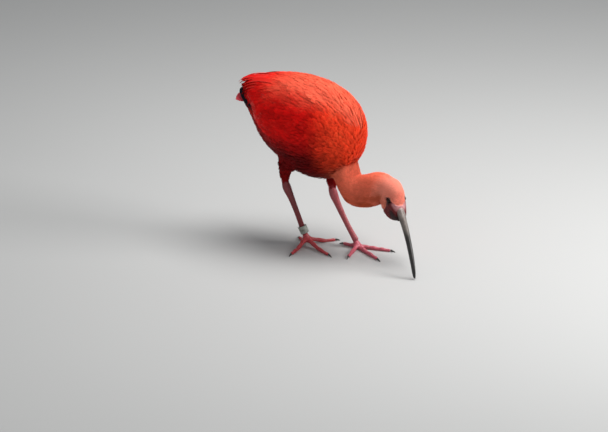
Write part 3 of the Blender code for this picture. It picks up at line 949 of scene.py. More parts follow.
# the voxel skin with its creases filled, finer on the legs and face and finest at the eyes
def fineSkin():
    mesh = rawSkin()
    places = coordinates(mesh)
    edges = edgesOf(mesh)
    names = nearestNames(places, fleshNodes)
    places = smoothed(fillet(places, names, edges), edges, skinSizes["passes"])
    setCoordinates(mesh, places)
    onFace = (names == "head") & (headPlaces(places)[:, 0] > skinSizes["fineFace"])
    mesh = refine(mesh, np.isin(names, legNodes) | onFace)
    places = coordinates(mesh)
    apart = [np.linalg.norm(places - np.array(eye), axis=1) for eye in (eyeLeft, eyeRight)]
    return refine(mesh, np.minimum(*apart) < skinSizes["fineEye"])


def makeSkinMesh():
    mesh = fineSkin()
    edges = edgesOf(mesh)
    places = coordinates(mesh)
    names = nearestNames(places, fleshNodes)
    places = smoothed(places, edges, 2)
    setCoordinates(mesh, places)
    region = regionsOf(places, names, edges)
    normals = smoothed(vertexNormals(mesh), edges, 8)
    normals /= np.linalg.norm(normals, axis=1, keepdims=True)
    at = measuresOf(places, normals)
    thick = thicknessOf(mesh, places, normals, edges)
    depth = smoothed(coatDepth(at, region), edges, 6)
    depth = np.minimum(depth, thick * skinSizes["depthShare"])
    lay = onSurface(smoothed(layOf(places, normals, region, at), edges, 20), normals)
    store(mesh, "length", featherLength(region, at))
    store(mesh, "lay", lay)
    store(mesh, "swell", np.clip(streaksOf(places), -1, 1))
    store(mesh, "broad", plateBreadth(normals, region))
    pigment = np.c_[pigmentOf(places, region, at), np.ones(len(places))]
    store(mesh, "pigment", pigment)
    places = places - normals * depth[:, None]
    places = creaseFace(openEyes(places), normals, region["face"])
    places[:, 2] = np.maximum(places[:, 2], 0)
    setCoordinates(mesh, places)
    at = measuresOf(places, normals)
    store(mesh, "depth", np.maximum(depth + outlineLift(at), skinSizes["leastDepth"]))
    for name, mask in coatMasks(places, region, thick, at).items():
        store(mesh, name, mask)
    return mesh


# a map of the skin's own shape, which the feathers take their roots' places from
def unwrapSkin(obj):
    bpy.context.view_layer.objects.active = obj
    obj.select_set(True)
    bpy.ops.object.mode_set(mode="EDIT")
    bpy.ops.mesh.select_all(action="SELECT")
    bpy.ops.uv.smart_project(angle_limit=radians(70), island_margin=0.004)
    bpy.ops.object.mode_set(mode="OBJECT")
    obj.select_set(False)
    obj.data.uv_layers[0].name = "skinMap"


def skinMaterial():
    paint = Paint("skinTissue", 0.42, 0.25)
    tone = paint.ramped(paint.noise(140.0, 5.0), 0.3, 0.7, 0.72, 1.22)
    cells = {"Vector": paint.place(), "Scale": 850.0}
    cells = paint.add("ShaderNodeTexVoronoi", cells, feature="DISTANCE_TO_EDGE")["Distance"]
    colour = paint.vector("SCALE", paint.attribute("pigment", "Color"), tone)
    return paint.finish(colour, cells, 0.6, 0.0003)


def addLids(mesh):
    lids = [lidMesh(1, "lidLeft"), lidMesh(-1, "lidRight")]
    for lid in lids:
        rim = np.tile((*pigments["orbit"], 1.0), (len(lid.vertices), 1))
        # painted shade: the first two rings of the rim darkened as the shadow round the opening
        rim[: lidSizes["around"] * 2, :3] = pigments["shadedLidRim"]
        store(lid, "pigment", rim)
    return joined([mesh, *lids], "skin")


skinMesh = makeSkinMesh()
skin = newObject("skin", skinMesh)
unwrapSkin(skin)
shade(skin.data)
skin.data.materials.append(skinMaterial())
report(f"skin with {len(skin.data.polygons)} faces")

# feathers that grow all over the skin
vanes = {  # barbs on each side, how far they sweep back, the gap between them, where widest
    "plume": {"barbs": 10, "sweep": 0.22, "gap": 0.50, "widest": 0.55, "seed": 3},
    "covert": {"barbs": 10, "sweep": 0.16, "gap": 0.10, "widest": 0.62, "seed": 4},
    "body": {"barbs": 8, "sweep": 0.18, "gap": 0.20, "widest": 0.60, "seed": 7},
    "small": {"barbs": 5, "sweep": 0.22, "gap": 0.20, "widest": 0.58, "seed": 5},
    "scale": {"barbs": 3, "sweep": 0.04, "gap": 0.0, "widest": 0.55, "seed": 6},
}


# one feather, a unit long and wide, of swept barbs on both sides of a shaft
def makeVane(name, barbs, sweep, gap, widest, seed):
    dice = np.random.default_rng(seed)
    tipStart = 0.97
    step = (tipStart - sweep) / barbs
    corners, faces = [], []

    def halfWidth(at):
        if at < widest:
            return 0.5 * sin(pi / 2 * at / widest) ** 0.7
        return 0.5 * max(1 - ((at - widest) / (1 - widest)) ** 2, 0.004) ** 0.5

    def corner(side, at):
        corners.append((side, at, 0))
        return len(corners) - 1

    line = [corner(0, step * k) for k in range(barbs + 1)]
    for hand in (-1, 1):
        for k in range(barbs):
            start = step * k + sweep * (0.55 + 0.45 * k / barbs)
            finish = start + step * (1 - gap * (0.6 + 0.8 * dice.random()))
            fray = 1 - 0.5 * gap * dice.random()
            low = corner(hand * halfWidth(start) * fray, start)
            high = corner(hand * halfWidth(finish) * fray, finish)
            quad = (line[k], line[k + 1], high, low)
            faces.append(quad if hand < 0 else quad[::-1])
    tip = corner(0, 1.0)
    shoulders = [corner(hand * halfWidth(tipStart) * 0.8, tipStart) for hand in (-1, 1)]
    faces.append((line[-1], shoulders[1], tip, shoulders[0]))
    mesh = meshFrom(name, corners, faces)
    sides, ats, _ = np.array(corners).T
    store(mesh, "along", ats)
    store(mesh, "across", sides * 2)
    patch = mesh.uv_layers.new(name="patch")
    for loop in mesh.loops:
        side, at, _ = corners[loop.vertex_index]
        patch.data[loop.index].uv = (side, at - 0.5)
    shade(mesh)
    return newObject(name, mesh)


coatInputs = {
    "Skin": "Object", "Vane": "Object", "Material": "Material", "Mask": "String", "Seed": "Int",
    "Spacing": "Float", "Stretch": "Float", "Slimness": "Float", "Rise": "Float", "Lift": "Float",
    "Swell": "Float", "Camber": "Float", "Unrest": "Float", "Waves": "Float", "Patch": "Float",
}


# a geometry tree with named inputs
class Graph(Tree):
    def __init__(self, name, inputs):
        self.tree = bpy.data.node_groups.new(name, "GeometryNodeTree")
        for label, kind in {"Geometry": "Geometry", **inputs}.items():
            self.socket(label, "INPUT", kind)
        self.socket("Geometry", "OUTPUT", "Geometry")
        self.given = self.tree.nodes.new("NodeGroupInput").outputs
        self.result = self.tree.nodes.new("NodeGroupOutput").inputs[0]

    def socket(self, label, way, kind):
        kind = "NodeSocket" + kind
        self.tree.interface.new_socket(label, in_out=way, socket_type=kind)

    def named(self, name, kind="FLOAT"):
        return self.add("GeometryNodeInputNamedAttribute", {"Name": name}, data_type=kind)[0]

    def random(self, low, high, seed):
        return self.add("FunctionNodeRandomValue", {2: low, 3: high, "Seed": seed})[1]

    def keep(self, geometry, name, value, kind="FLOAT", domain="POINT"):
        inputs = {"Geometry": geometry, "Name": name, "Value": value}
        kinds = {"data_type": kind, "domain": domain}
        return self.add("GeometryNodeStoreNamedAttribute", inputs, **kinds)[0]

    def sampled(self, mesh, value, place):
        inputs = {"Mesh": mesh, "Value": value, "Sample Position": place}
        return self.add("GeometryNodeSampleNearestSurface", inputs, data_type="FLOAT_VECTOR")[0]

    def shape(self, obj):
        return self.add("GeometryNodeObjectInfo", {"Object": obj})["Geometry"]

    def place(self):
        return self.add("GeometryNodeInputPosition")[0]


# scatters vanes over the skin and turns them along the lay
def scatterVanes(g, given):
    roots = {
        "Mesh": given["Geometry"],
        "Distance Min": given["Spacing"],
        "Density Factor": g.named(given["Mask"]),
        "Density Max": g.math("DIVIDE", 1.6, g.product(given["Spacing"], given["Spacing"])),
        "Seed": given["Seed"],
    }
    kind = "GeometryNodeDistributePointsOnFaces"
    scatter = g.add(kind, roots, distribute_method="POISSON")
    normal = scatter["Normal"]
    points = g.keep(scatter["Points"], "tint", g.random(0.0, 1.0, 11))
    points = g.keep(points, "loose", g.random(0.0, 1.0, 12))
    lay = g.named("lay", "FLOAT_VECTOR")
    wave = g.add("ShaderNodeTexNoise", {"Vector": g.place(), "Scale": 34.0, "Detail": 2.0})[0]
    waves = g.product(g.math("SUBTRACT", wave, 0.5), given["Waves"])
    stray = g.product(g.random(-1.0, 1.0, 13), given["Unrest"])
    beside = g.vector("CROSS_PRODUCT", lay, normal)
    beside = g.vector("SCALE", beside, g.math("ADD", stray, waves))
    turns = {"Primary Axis": normal, "Secondary Axis": g.vector("ADD", lay, beside)}
    turn = g.add("FunctionNodeAxesToRotation", turns, primary_axis="Z", secondary_axis="Y")[0]
    long = g.product(g.named("length"), g.product(given["Stretch"], g.random(0.8, 1.2, 14)))
    slim = g.product(given["Slimness"], g.named("broad"), g.random(0.85, 1.15, 15))
    wide = g.product(long, slim)
    points = g.keep(points, "long", long)
    size = g.add("ShaderNodeCombineXYZ", {"X": wide, "Y": long, "Z": long})[0]
    vane = g.shape(given["Vane"])
    inputs = {"Points": points, "Instance": vane, "Rotation": turn, "Scale": size}
    spread = g.add("GeometryNodeInstanceOnPoints", inputs)[0]
    return g.add("GeometryNodeRealizeInstances", {"Geometry": spread})[0]


# puts each corner at its height over the nearest place on the skin
def layOnSkin(g, given, vanesMesh):
    ground = g.shape(given["Skin"])
    here = g.place()
    near = g.sampled(ground, here, here)
    facing = g.sampled(ground, g.add("GeometryNodeInputNormal")[0], here)
    along = g.named("along")
    edge = g.named("across")
    height = g.product(g.named("depth"), g.math("POWER", along, given["Rise"]))
    height = g.math("ADD", height, g.product(along, along, g.named("loose"), given["Lift"]))
    height = g.math("ADD", height, g.product(g.named("swell"), along, given["Swell"]))
    bow = g.product(edge, edge, g.named("long"), given["Camber"])
    height = g.math("SUBTRACT", height, bow)
    height = g.math("MAXIMUM", height, 0.00008)  # clear of the skin everywhere
    placed = g.vector("ADD", near, g.vector("SCALE", facing, height))
    return g.add("GeometryNodeSetPosition", {"Geometry": vanesMesh, "Position": placed})[0]


def makeCoatTree():
    g = Graph("coat", coatInputs)
    bent = layOnSkin(g, g.given, scatterVanes(g, g.given))
    offset = g.vector("SCALE", g.named("patch", "FLOAT_VECTOR"), g.given["Patch"])
    spot = g.vector("ADD", g.named("skinMap", "FLOAT_VECTOR"), offset)
    mapped = g.keep(bent, "OFBake", spot, "FLOAT2", "CORNER")
    inputs = {"Geometry": mapped, "Material": g.given["Material"]}
    g.tree.links.new(g.add("GeometryNodeSetMaterial", inputs)[0], g.result)
    return g.tree


# roughness and gloss, how dark the base is (painted shade where the next feather overlaps it), the
# darkest and palest feather, worn edges
plumageLooks = {
    "plumage": {"rough": 0.65, "base": 0.76, "tones": (0.86, 1.12), "edge": 0.18},
    "coverts": {"rough": 0.60, "base": 0.74, "tones": (0.86, 1.10), "edge": 0.08, "spots": 0.30},
    "headPlumage": {"rough": 0.75, "base": 0.86, "tones": (0.92, 1.06), "edge": 0.12},
    "legScales": {"rough": 0.32, "base": 0.55, "tones": (0.84, 1.10), "edge": 0.34, "gloss": 0.50},
}


# pigment from the root's place, darker at the base as painted shade under the overlapping
# feathers, with pale worn edges
def plumageMaterial(name, rough, base, tones, edge, spots=0, gloss=0.06):
    paint = Paint(name, rough, gloss)
    along, tint = paint.attribute("along"), paint.attribute("tint")
    # painted shade: each feather darker towards its covered base
    strength = paint.ramped(along, 0.15, 0.85, base, 1.0)
    strength = paint.product(strength, paint.ramped(tint, 0.0, 1.0, *tones))
    body = paint.vector("SCALE", paint.attribute("pigment", "Color"), strength)
    rim = paint.ramped(paint.math("ABSOLUTE", paint.attribute("across")), 0.35, 1.0, 0.0, edge)
    worn = paint.product(rim, paint.ramped(along, 0.5, 0.95, 0.2, 1.0))
    if spots:
        spot = paint.ramped(tint, 0.90, 0.94, 0.0, spots)
        spot = paint.product(spot, paint.ramped(along, 0.72, 0.95, 0.0, 1.0))
        worn = paint.math("MAXIMUM", worn, spot)
    paler = paint.vector("MULTIPLY_ADD", body, (1.0, 2.0, 2.0), (0.04, 0.035, 0.022))
    return paint.finish(paint.mixed(worn, body, paler))


# the vane, where it grows, its size and spacing, and how it lies
usualCoat = {"finish": "plumage", "slot": "plumage", "stretch": 1.0, "rise": 0.8, "camber": 0.030}
wingCoat = {
    **usualCoat, "vane": "covert", "finish": "coverts", "spacing": 0.0024, "slimness": 0.27,
    "rise": 0.85, "lift": 0.0006, "swell": 0.0010, "unrest": 0.12, "waves": 0.9,
}
shortCoat = {
    **usualCoat, "vane": "small", "finish": "headPlumage", "slot": "neck_plumage",
    "unrest": 0.18, "waves": 0.8,
}
coats = {
    "coat_back": {
        **usualCoat, "mask": "onBack", "vane": "plume", "spacing": 0.0023, "slimness": 0.18,
        "rise": 0.75, "lift": 0.0006, "swell": 0.0011, "camber": 0.020, "unrest": 0.14,
        "waves": 2.0, "seed": 21,
    },
    "coat_wing_left": {**wingCoat, "mask": "onLeftWing", "seed": 22},
    "coat_wing_right": {**wingCoat, "mask": "onRightWing", "seed": 23},
    "coat_breast": {
        **usualCoat, "mask": "onBreast", "vane": "body", "spacing": 0.0022, "slimness": 0.28,
        "lift": 0.0008, "swell": 0.0006, "camber": 0.040, "unrest": 0.12, "waves": 0.6, "seed": 24,
    },
    "coat_belly": {
        **usualCoat, "mask": "onBelly", "vane": "body", "spacing": 0.0027, "stretch": 1.1,
        "slimness": 0.30, "lift": 0.0012, "swell": 0.0010, "camber": 0.035, "unrest": 0.16,
        "waves": 0.8, "seed": 25,
    },
    "coat_thighs": {
        **usualCoat, "mask": "onThigh", "vane": "small", "spacing": 0.0016, "slimness": 0.40,
        "lift": 0.0010, "swell": 0.0, "unrest": 0.22, "waves": 0.6, "seed": 26,
    },
    "coat_neck": {
        **shortCoat, "mask": "onNeck", "spacing": 0.0013, "slimness": 0.32, "lift": 0.0006,
        "swell": 0.0003, "seed": 27,
    },
    "coat_head": {
        **shortCoat, "mask": "onHead", "spacing": 0.00095, "slimness": 0.42, "lift": 0.0004,
        "swell": 0.0002, "seed": 28,
    },
    "coat_leg_scales": {
        "mask": "onLeg", "vane": "scale", "finish": "legScales", "slot": "leg_skin",
        "spacing": 0.0011, "stretch": 1.0, "slimness": 0.95, "rise": 1.0, "lift": 0.0,
        "swell": 0.0, "camber": 0.0, "unrest": 0.05, "waves": 0.0, "seed": 29,
    },
}
kept = {"pigment", "tint", "along", "across", "OFBake"}  # what the finished coats carry
bakePatch = 0.003  # how large one feather is on the baked map


def makeCoat(name, settings):
    holder = newObject(name + "Roots", skinMesh)
    modifier = holder.modifiers.new("coat", "NODES")
    modifier.node_group = coatTree
    values = {key.title(): value for key, value in settings.items()}
    values.update(Skin=skin, Vane=vaneObjects[settings["vane"]], Patch=bakePatch)
    values["Material"] = plumages[settings["finish"]]
    for item in coatTree.interface.items_tree:
        if item.in_out == "INPUT" and item.name in values:
            modifier[item.identifier] = values[item.name]
    mesh = meshOf(holder)
    floored(mesh)
    dropAttributes(mesh, kept)
    mesh.materials.clear()
    mesh.materials.append(values["Material"])
    finishPiece(name, mesh, settings["slot"])


def finishPiece(name, mesh, slot, *nodes):
    mesh.name = name
    shade(mesh)
    piece = newObject(name, mesh)
    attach(piece, "root")
    if nodes:
        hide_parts(*nodes)
    report(f"{name} with {sum(p.loop_total - 2 for p in mesh.polygons)} triangles")


vaneObjects = {name: makeVane(name, **shape) for name, shape in vanes.items()}
coatTree = makeCoatTree()
plumages = {name: plumageMaterial(name, **looks) for name, looks in plumageLooks.items()}
for name, settings in coats.items():
    makeCoat(name, settings)

# long feathers of the folded wings and the tail, laid over the body's outer shape
hull, _ = treeOf(["trunk", "wing_left", "wing_right"])
hullEnd = -0.179  # no place on the hull is sought behind this
leaveAt = -0.145  # here a feather with a goal leaves the hull


def hullPlace(x, angle):
    centre = Vector(trunkMiddle(np.array([x]))[0])
    out = Vector((0, sin(radians(angle)), cos(radians(angle))))
    place, normal, _, _ = hull.ray_cast(centre + out * 0.2, -out)  # from outside the body
    if place is None:
        return None, None
    return np.array(place), np.array(normal)


# places and normals from a root to a tip, each given as x and degrees off the top;
# with a goal the path leaves the body at leaveAt and runs straight to it
def hullPath(root, tip, goal=None, steps=26):
    places, normals = [], []
    end = hullEnd if goal is None else leaveAt
    for k in range(steps + 1):
        share = k / steps
        x = root[0] + (tip[0] - root[0]) * share
        angle = root[1] + (tip[1] - root[1]) * share**1.3
        place, normal = hullPlace(x, angle) if x > end else (None, None)
        if place is not None:
            places.append(place)
            normals.append(normal)
    if goal is not None:
        start, facing = places[-1], normals[-1]
        for share in (0.25, 0.5, 0.75, 1.0):
            places.append(start + (goal - start) * share)
            normals.append(facing)
    return evened(np.array(places), np.array(normals), steps)


# smooths a path and spaces its places evenly
def evened(places, normals, steps):
    for _ in range(6):
        places[1:-1] = places[1:-1] * 0.5 + (places[2:] + places[:-2]) * 0.25
        normals[1:-1] = normals[1:-1] * 0.4 + (normals[2:] + normals[:-2]) * 0.3
    run = np.r_[0, np.cumsum(np.linalg.norm(np.diff(places, axis=0), axis=1))]
    at = np.linspace(0, run[-1], steps + 1)
    places = np.stack([np.interp(at, run, places[:, k]) for k in range(3)], -1)
    normals = np.stack([np.interp(at, run, normals[:, k]) for k in range(3)], -1)
    return places, normals / np.linalg.norm(normals, axis=1, keepdims=True)


quillSizes = {
    "columns": (-1, -0.82, -0.6, -0.38, -0.16, -0.045, 0.045, 0.16, 0.38, 0.6, 0.82, 1),
    "thickness": 0.0004,
    "shaft": 0.0004,
    "base": 0.30,  # of the full width, at the root
    "tipStart": 0.80,
    "tilt": 0.05,  # how much the outer edge stands off, of the half width
    "camber": 0.10,
    "fray": 0.035,
    "notched": 0.07,  # share of the places along the edge
    "notch": 0.90,
}


class Quills:
    def __init__(self):
        self.corners, self.faces = [], []
        self.values = {"along": [], "across": [], "tint": []}
        self.spots = []
        self.count = 0
        self.dice = np.random.default_rng(40)

    # one closed feather along a path; hand +1 turns its outer edge to the bird's left
    def add(self, path, width, hand, rise, inner=0.55, tilt=1.0, point=1.0):
        size = quillSizes
        places, normals = path
        steps = len(places) - 1
        tangents = np.gradient(places, axis=0)
        tangents /= np.linalg.norm(tangents, axis=1, keepdims=True)
        beside = np.cross(normals, tangents)
        beside /= np.linalg.norm(beside, axis=1, keepdims=True)
        beside *= 1 if beside[0] @ np.array([0, hand, -0.2]) > 0 else -1
        share = np.linspace(0, 1, steps + 1)
        tint = self.dice.random()
        fray = 1 + size["fray"] * self.dice.standard_normal((steps + 1, 2))
        fray[self.dice.random((steps + 1, 2)) < size["notched"]] *= size["notch"]
        full = size["base"] + (1 - size["base"]) * np.minimum(share / 0.3, 1) ** 0.8
        over = np.clip((share - size["tipStart"]) / (1 - size["tipStart"]), 0, 1)
        full = full * (1 - over ** (2.4 / point)) ** 0.5
        full = np.maximum(full, 0.05) * width / 2
        lift = rise[0] + (rise[1] - rise[0]) * share**0.7
        top = np.array(size["columns"])
        column = np.r_[top, top[-2:0:-1]]
        under = np.r_[np.zeros(len(top)), np.ones(len(top) - 2)]
        base = len(self.corners)
        for k in range(steps + 1):
            for side, below in zip(column, under):
                reach = full[k] * abs(side) * (1 if side > 0 else inner) * fray[k, int(side > 0)]
                reach *= 2 / (1 + inner)
                bow = size["tilt"] * tilt * side - size["camber"] * side * side
                height = lift[k] + bow * full[k]
                height += size["shaft"] * (abs(side) < 0.1) * (1 - 0.7 * share[k])
                height -= below * size["thickness"] * (1 - side * side * 0.8)
                spot = places[k] + beside[k] * reach * np.sign(side) + normals[k] * height
                sweep = 0.5 * reach * share[k]
                self.corners.append(spot + tangents[k] * sweep * (1 if share[k] < 0.99 else 0.4))
                self.values["along"].append(share[k])
                self.values["across"].append(side)
                self.values["tint"].append(tint)
                u, v = (side + 1) / 2 * 0.9 + 0.05, share[k] * 0.95 + 0.02
                self.spots.append((u, v, below, self.count))
        ring = len(column)
        self.faces += ringQuads(steps + 1, ring, base)
        self.faces.append(tuple(base + j for j in range(ring))[::-1])
        self.faces.append(tuple(base + steps * ring + j for j in range(ring)))
        self.count += 1

    # every feather's upper and under side has a tile of its own on the baked map
    def mesh(self, name):
        mesh = meshFrom(name, self.corners, self.faces)
        for key, values in self.values.items():
            store(mesh, key, values)
        tiles = int(np.ceil(np.sqrt(self.count * 2)))
        layer = mesh.uv_layers.new(name="OFBake")
        for face in mesh.polygons:
            spots = [self.spots[mesh.loops[k].vertex_index] for k in face.loop_indices]
            upper = all(below < 0.5 for _, _, below, _ in spots)
            for k, (u, v, _, number) in zip(face.loop_indices, spots):
                tile = number * 2 + (0 if upper else 1)
                layer.data[k].uv = ((tile % tiles + u) / tiles, (tile // tiles + v) / tiles)
        return turnedOut(mesh)


wingQuills = {  # first and last root and tip, each x and degrees off the top; widths; heights
    "secondaries": {
        "count": 13, "roots": ((-0.057, 60), (-0.031, 112)), "tips": ((-0.153, 52), (-0.107, 122)),
        "widths": (0.014, 0.013), "rise": ((-0.0036, 0.0008), (-0.0040, -0.0006)), "bow": 0.0,
    },
    "hiddenTertials": {
        "count": 4, "roots": ((-0.075, 7), (-0.070, 26)), "tips": ((-0.178, 7), (-0.168, 22)),
        "widths": (0.0145, 0.0145), "rise": ((-0.0040, 0.0), (-0.0040, -0.0006)), "bow": 0.0056,
        "goals": ((-0.1830, 0.0020, 0.2536), (-0.1680, 0.0120, 0.2505)),
    },
    "tertials": {
        "count": 9, "roots": ((-0.072, 9), (-0.060, 60)), "tips": ((-0.183, 8), (-0.160, 48)),
        "widths": (0.0145, 0.0145), "rise": ((-0.0038, 0.0004), (-0.0040, -0.0004)), "bow": 0.0070,
        "goals": ((-0.1880, 0.0035, 0.2545), (-0.1520, 0.0260, 0.2470)),
    },
    "greatCoverts": {
        "count": 15, "roots": ((-0.055, 36), (-0.031, 116)), "tips": ((-0.123, 34), (-0.083, 118)),
        "widths": (0.014, 0.012), "rise": ((-0.0034, -0.0010), (-0.0036, -0.0006)), "bow": 0.0,
    },
}


wander = {"tip": (0.0012, 1.0), "late": (3.0, 0.5)}  # metres and degrees; usual and spread


def between(pair, share):
    return np.array(pair[0]) + (np.array(pair[1]) - np.array(pair[0])) * share


def addWing(quills, hand):
    for group in wingQuills.values():
        for k in range(group["count"] - 1, -1, -1):
            share = k / (group["count"] - 1)
            root, tip = between(group["roots"], share), between(group["tips"], share)
            ahead, aside = quills.dice.standard_normal(2) * wander["tip"]
            goal = None
            if "goals" in group:
                goal = between(group["goals"], share) * (1, hand, 1) + (ahead, feetMiddle.y, 0)
            tip = (tip[0] + ahead, (tip[1] + aside) * hand)
            places, normals = hullPath((root[0], root[1] * hand), tip, goal)
            late = wander["late"][0] + wander["late"][1] * quills.dice.standard_normal()
            bow = np.sin(pi * np.linspace(0, 1, len(places)) ** late)
            places += normals * (group["bow"] * (1 - share) ** 1.5 * bow)[:, None]
            rise, width = between(group["rise"], share), between(group["widths"], share)
            quills.add((places, normals), width, hand, rise)


primaries = {  # the five longest, root and tip of the outer and the inner one
    "count": 5,
    "roots": ((-0.113, 0.0450, 0.2085), (-0.107, 0.0410, 0.2150)),
    "tips": ((-0.1765, 0.0115, 0.2500), (-0.1650, 0.0185, 0.2430)),
    "bow": (0.0, 0.0050, -0.0005),
    "width": 0.0125,
    "facing": (0.30, 0.85, 0.15),
    "stack": 0.0012,  # how far the inner one lies over the outer one
    "vane": {"inner": 0.45, "tilt": 0.5},
}


def straightPath(root, tip, bow, facing, steps=26):
    share = np.linspace(0, 1, steps + 1)[:, None]
    places = np.array(root) + (np.array(tip) - np.array(root)) * share
    places = places + np.array(bow) * np.sin(pi * share)
    return evened(places, np.tile(np.array(facing, float), (steps + 1, 1)), steps)


def addPrimaries(quills, hand):
    turned = np.array([1, hand, 1])
    shift = np.array([0, feetMiddle.y, 0])
    for k in range(primaries["count"]):
        share = k / (primaries["count"] - 1)
        root = between(primaries["roots"], share) * turned + shift
        tip = between(primaries["tips"], share) * turned + shift
        facing = np.array(primaries["facing"]) * turned
        path = straightPath(root, tip, np.array(primaries["bow"]) * turned, facing)
        rise = primaries["stack"] * share
        quills.add(path, primaries["width"], hand, (rise, rise), **primaries["vane"])


tailRows = {  # x of the tip, in the middle and at the edge, and its height; half spread; width
    "rump": {
        "count": 7, "tip": (-0.1640, -0.158), "height": (0.2435, 0.2375),
        "spread": 0.0110, "width": 0.0110,
    },
    "feathers": {
        "count": 12, "tip": (-0.1885, -0.184), "height": (0.2345, 0.2312),
        "spread": 0.0185, "width": 0.0135,
    },
    "upper": {
        "count": 8, "tip": (-0.174, -0.169), "height": (0.2385, 0.2345),
        "spread": 0.0165, "width": 0.0130,
    },
    "under": {
        "count": 8, "tip": (-0.179, -0.171), "height": (0.2280, 0.2280),
        "spread": 0.0165, "width": 0.0135,
    },
}
tailShape = {
    "root": -0.121,
    "rootSpread": 0.35,
    "drop": 0.004,
    "arch": 0.001,
    "lean": 0.25,
    "stack": 0.0009,  # how far the middle feathers lie over the outer ones
    "vane": {"inner": 0.75, "tilt": 0.6, "point": 1.4},
}


def addTail(quills):
    shape = tailShape
    for name, row in tailRows.items():
        up = -1.0 if name == "under" else 1.0
        order = sorted(range(row["count"]), key=lambda k: -abs(k - (row["count"] - 1) / 2))
        for k in order:
            side = 2 * k / (row["count"] - 1) - 1
            tip, height = between(row["tip"], side * side), between(row["height"], side * side)
            y = side * row["spread"]
            root = (shape["root"], feetMiddle.y + y * shape["rootSpread"], height - shape["drop"])
            goal = (tip, feetMiddle.y + y, height)
            facing = (0.05, side * shape["lean"], up)
            path = straightPath(root, goal, (0, 0, shape["arch"] * up), facing)
            rise = shape["stack"] * (1 - abs(side))
            hand = 1 if side > 0 else -1
            quills.add(path, row["width"], hand, (rise, rise), **shape["vane"])


quillLooks = {
    "flightPlumage": {"tip": (0.88, 0.007, 0.006)},
    "tailPlumage": {"tip": (0.95, 0.080, 0.120)},
    "primaryPlumage": {"tip": (0.006, 0.007, 0.012), "blackFrom": 0.35},
}
quillColours = {
    "base": (0.90, 0.030, 0.018),
    "edge": (1.0, 0.34, 0.24),
    "dark": (0.60, 0.02, 0.012),
}


# red feathers with a paler edge, or dark ones whose outer part is black
def quillMaterial(name, tip, blackFrom=None):
    paint = Paint(name, 0.55, 0.10)
    along, tint = paint.attribute("along"), paint.attribute("tint")
    side = paint.math("ABSOLUTE", paint.attribute("across"))
    if blackFrom:
        share = paint.ramped(along, blackFrom, blackFrom + 0.25, 0.0, 1.0)
        colour = paint.mixed(share, quillColours["dark"], tip)
    else:
        share = paint.ramped(along, 0.40, 0.75, 0.0, 1.0)
        colour = paint.mixed(share, quillColours["base"], tip)
        edge = paint.ramped(side, 0.70, 1.0, 0.0, 0.16)
        edge = paint.product(edge, paint.ramped(along, 0.3, 0.8, 0.3, 1.0))
        colour = paint.mixed(edge, colour, quillColours["edge"])
    slope = paint.math("SUBTRACT", along, paint.product(side, 0.10))
    barbs = paint.math("SINE", paint.product(slope, 420.0))
    tone = paint.ramped(tint, 0.0, 1.0, 0.80, 1.12)
    tone = paint.product(tone, paint.ramped(barbs, -1.0, 1.0, 0.95, 1.03))
    return paint.finish(paint.vector("SCALE", colour, tone), barbs, 0.15)


def makeQuills(name, fill, finish, slot, *nodes):
    quills = Quills()
    fill(quills)
    mesh = quills.mesh(name)
    mesh.materials.append(quillMaterial(finish, **quillLooks[finish]))
    finishPiece(name, mesh, slot, *nodes)


for side, hand in hands.items():
    wing, outer = f"wing_feathers_{side}", f"primary_feathers_{side}"
    makeQuills(wing, lambda quills: addWing(quills, hand), "flightPlumage", "plumage")
    black = ("primaryPlumage", "primary_black", f"primaries_{side}")
    makeQuills(outer, lambda quills: addPrimaries(quills, hand), *black)
makeQuills("tail_feathers", addTail, "tailPlumage", "plumage", "tail")

# bill
billSizes = {  # along the length 0 to 1: half width, half depth, millimetres
    "shares": (0, 0.16, 0.40, 0.70, 0.90, 0.97, 1.0),
    "halfWidth": (7.0, 5.2, 4.4, 3.8, 3.0, 2.2, 1.0),
    "halfDepth": (9.2, 6.9, 5.6, 4.7, 3.6, 2.5, 1.2),
    "length": 0.1140,
    "base": (0.030, -0.0035, 0.0042),  # from the eyes: ahead, above, then square to the face
    "basePitch": -36,
    "tipPitch": -68,
    "facePitch": 2,
    "slantShare": 0.2,
    "rings": 90,
    "around": 30,
    "seam": 0.18,  # millimetres open between the halves
    "groove": 0.55,  # millimetres deep
    "nostril": 1.1,
}


# share of the length, place, and the ways ahead and upward, from the base to the tip
def billLine():
    face, faceUp = pitched(radians(billSizes["facePitch"]))
    ahead, above, up = billSizes["base"]
    start = eyesMiddle + headAhead * ahead + headCrown * above + faceUp * up
    first, last = radians(billSizes["basePitch"]), radians(billSizes["tipPitch"])
    radius = billSizes["length"] / (last - first)
    line = []
    for k in range(billSizes["rings"] + 1):
        share = k / billSizes["rings"]
        pitch = first + (last - first) * share
        run = radius * (sin(pitch) - sin(first))
        drop = -radius * (cos(pitch) - cos(first))
        line.append((share, start + level * run + Vector((0, 0, drop)), *pitched(pitch)))
    return line


# how deep the side groove and the nostril are, in millimetres; off is the angle off the ridge
def billCut(share, off):
    size = billSizes
    groove = size["groove"] * np.exp(-(((off - radians(46)) / 0.16) ** 2))
    groove *= min(share / 0.05, 1) * eased(0.92, 0.70, share)
    nostril = np.exp(-(((share - 0.062) / 0.022) ** 2) - (((off - radians(44)) / 0.12) ** 2))
    return groove + size["nostril"] * nostril


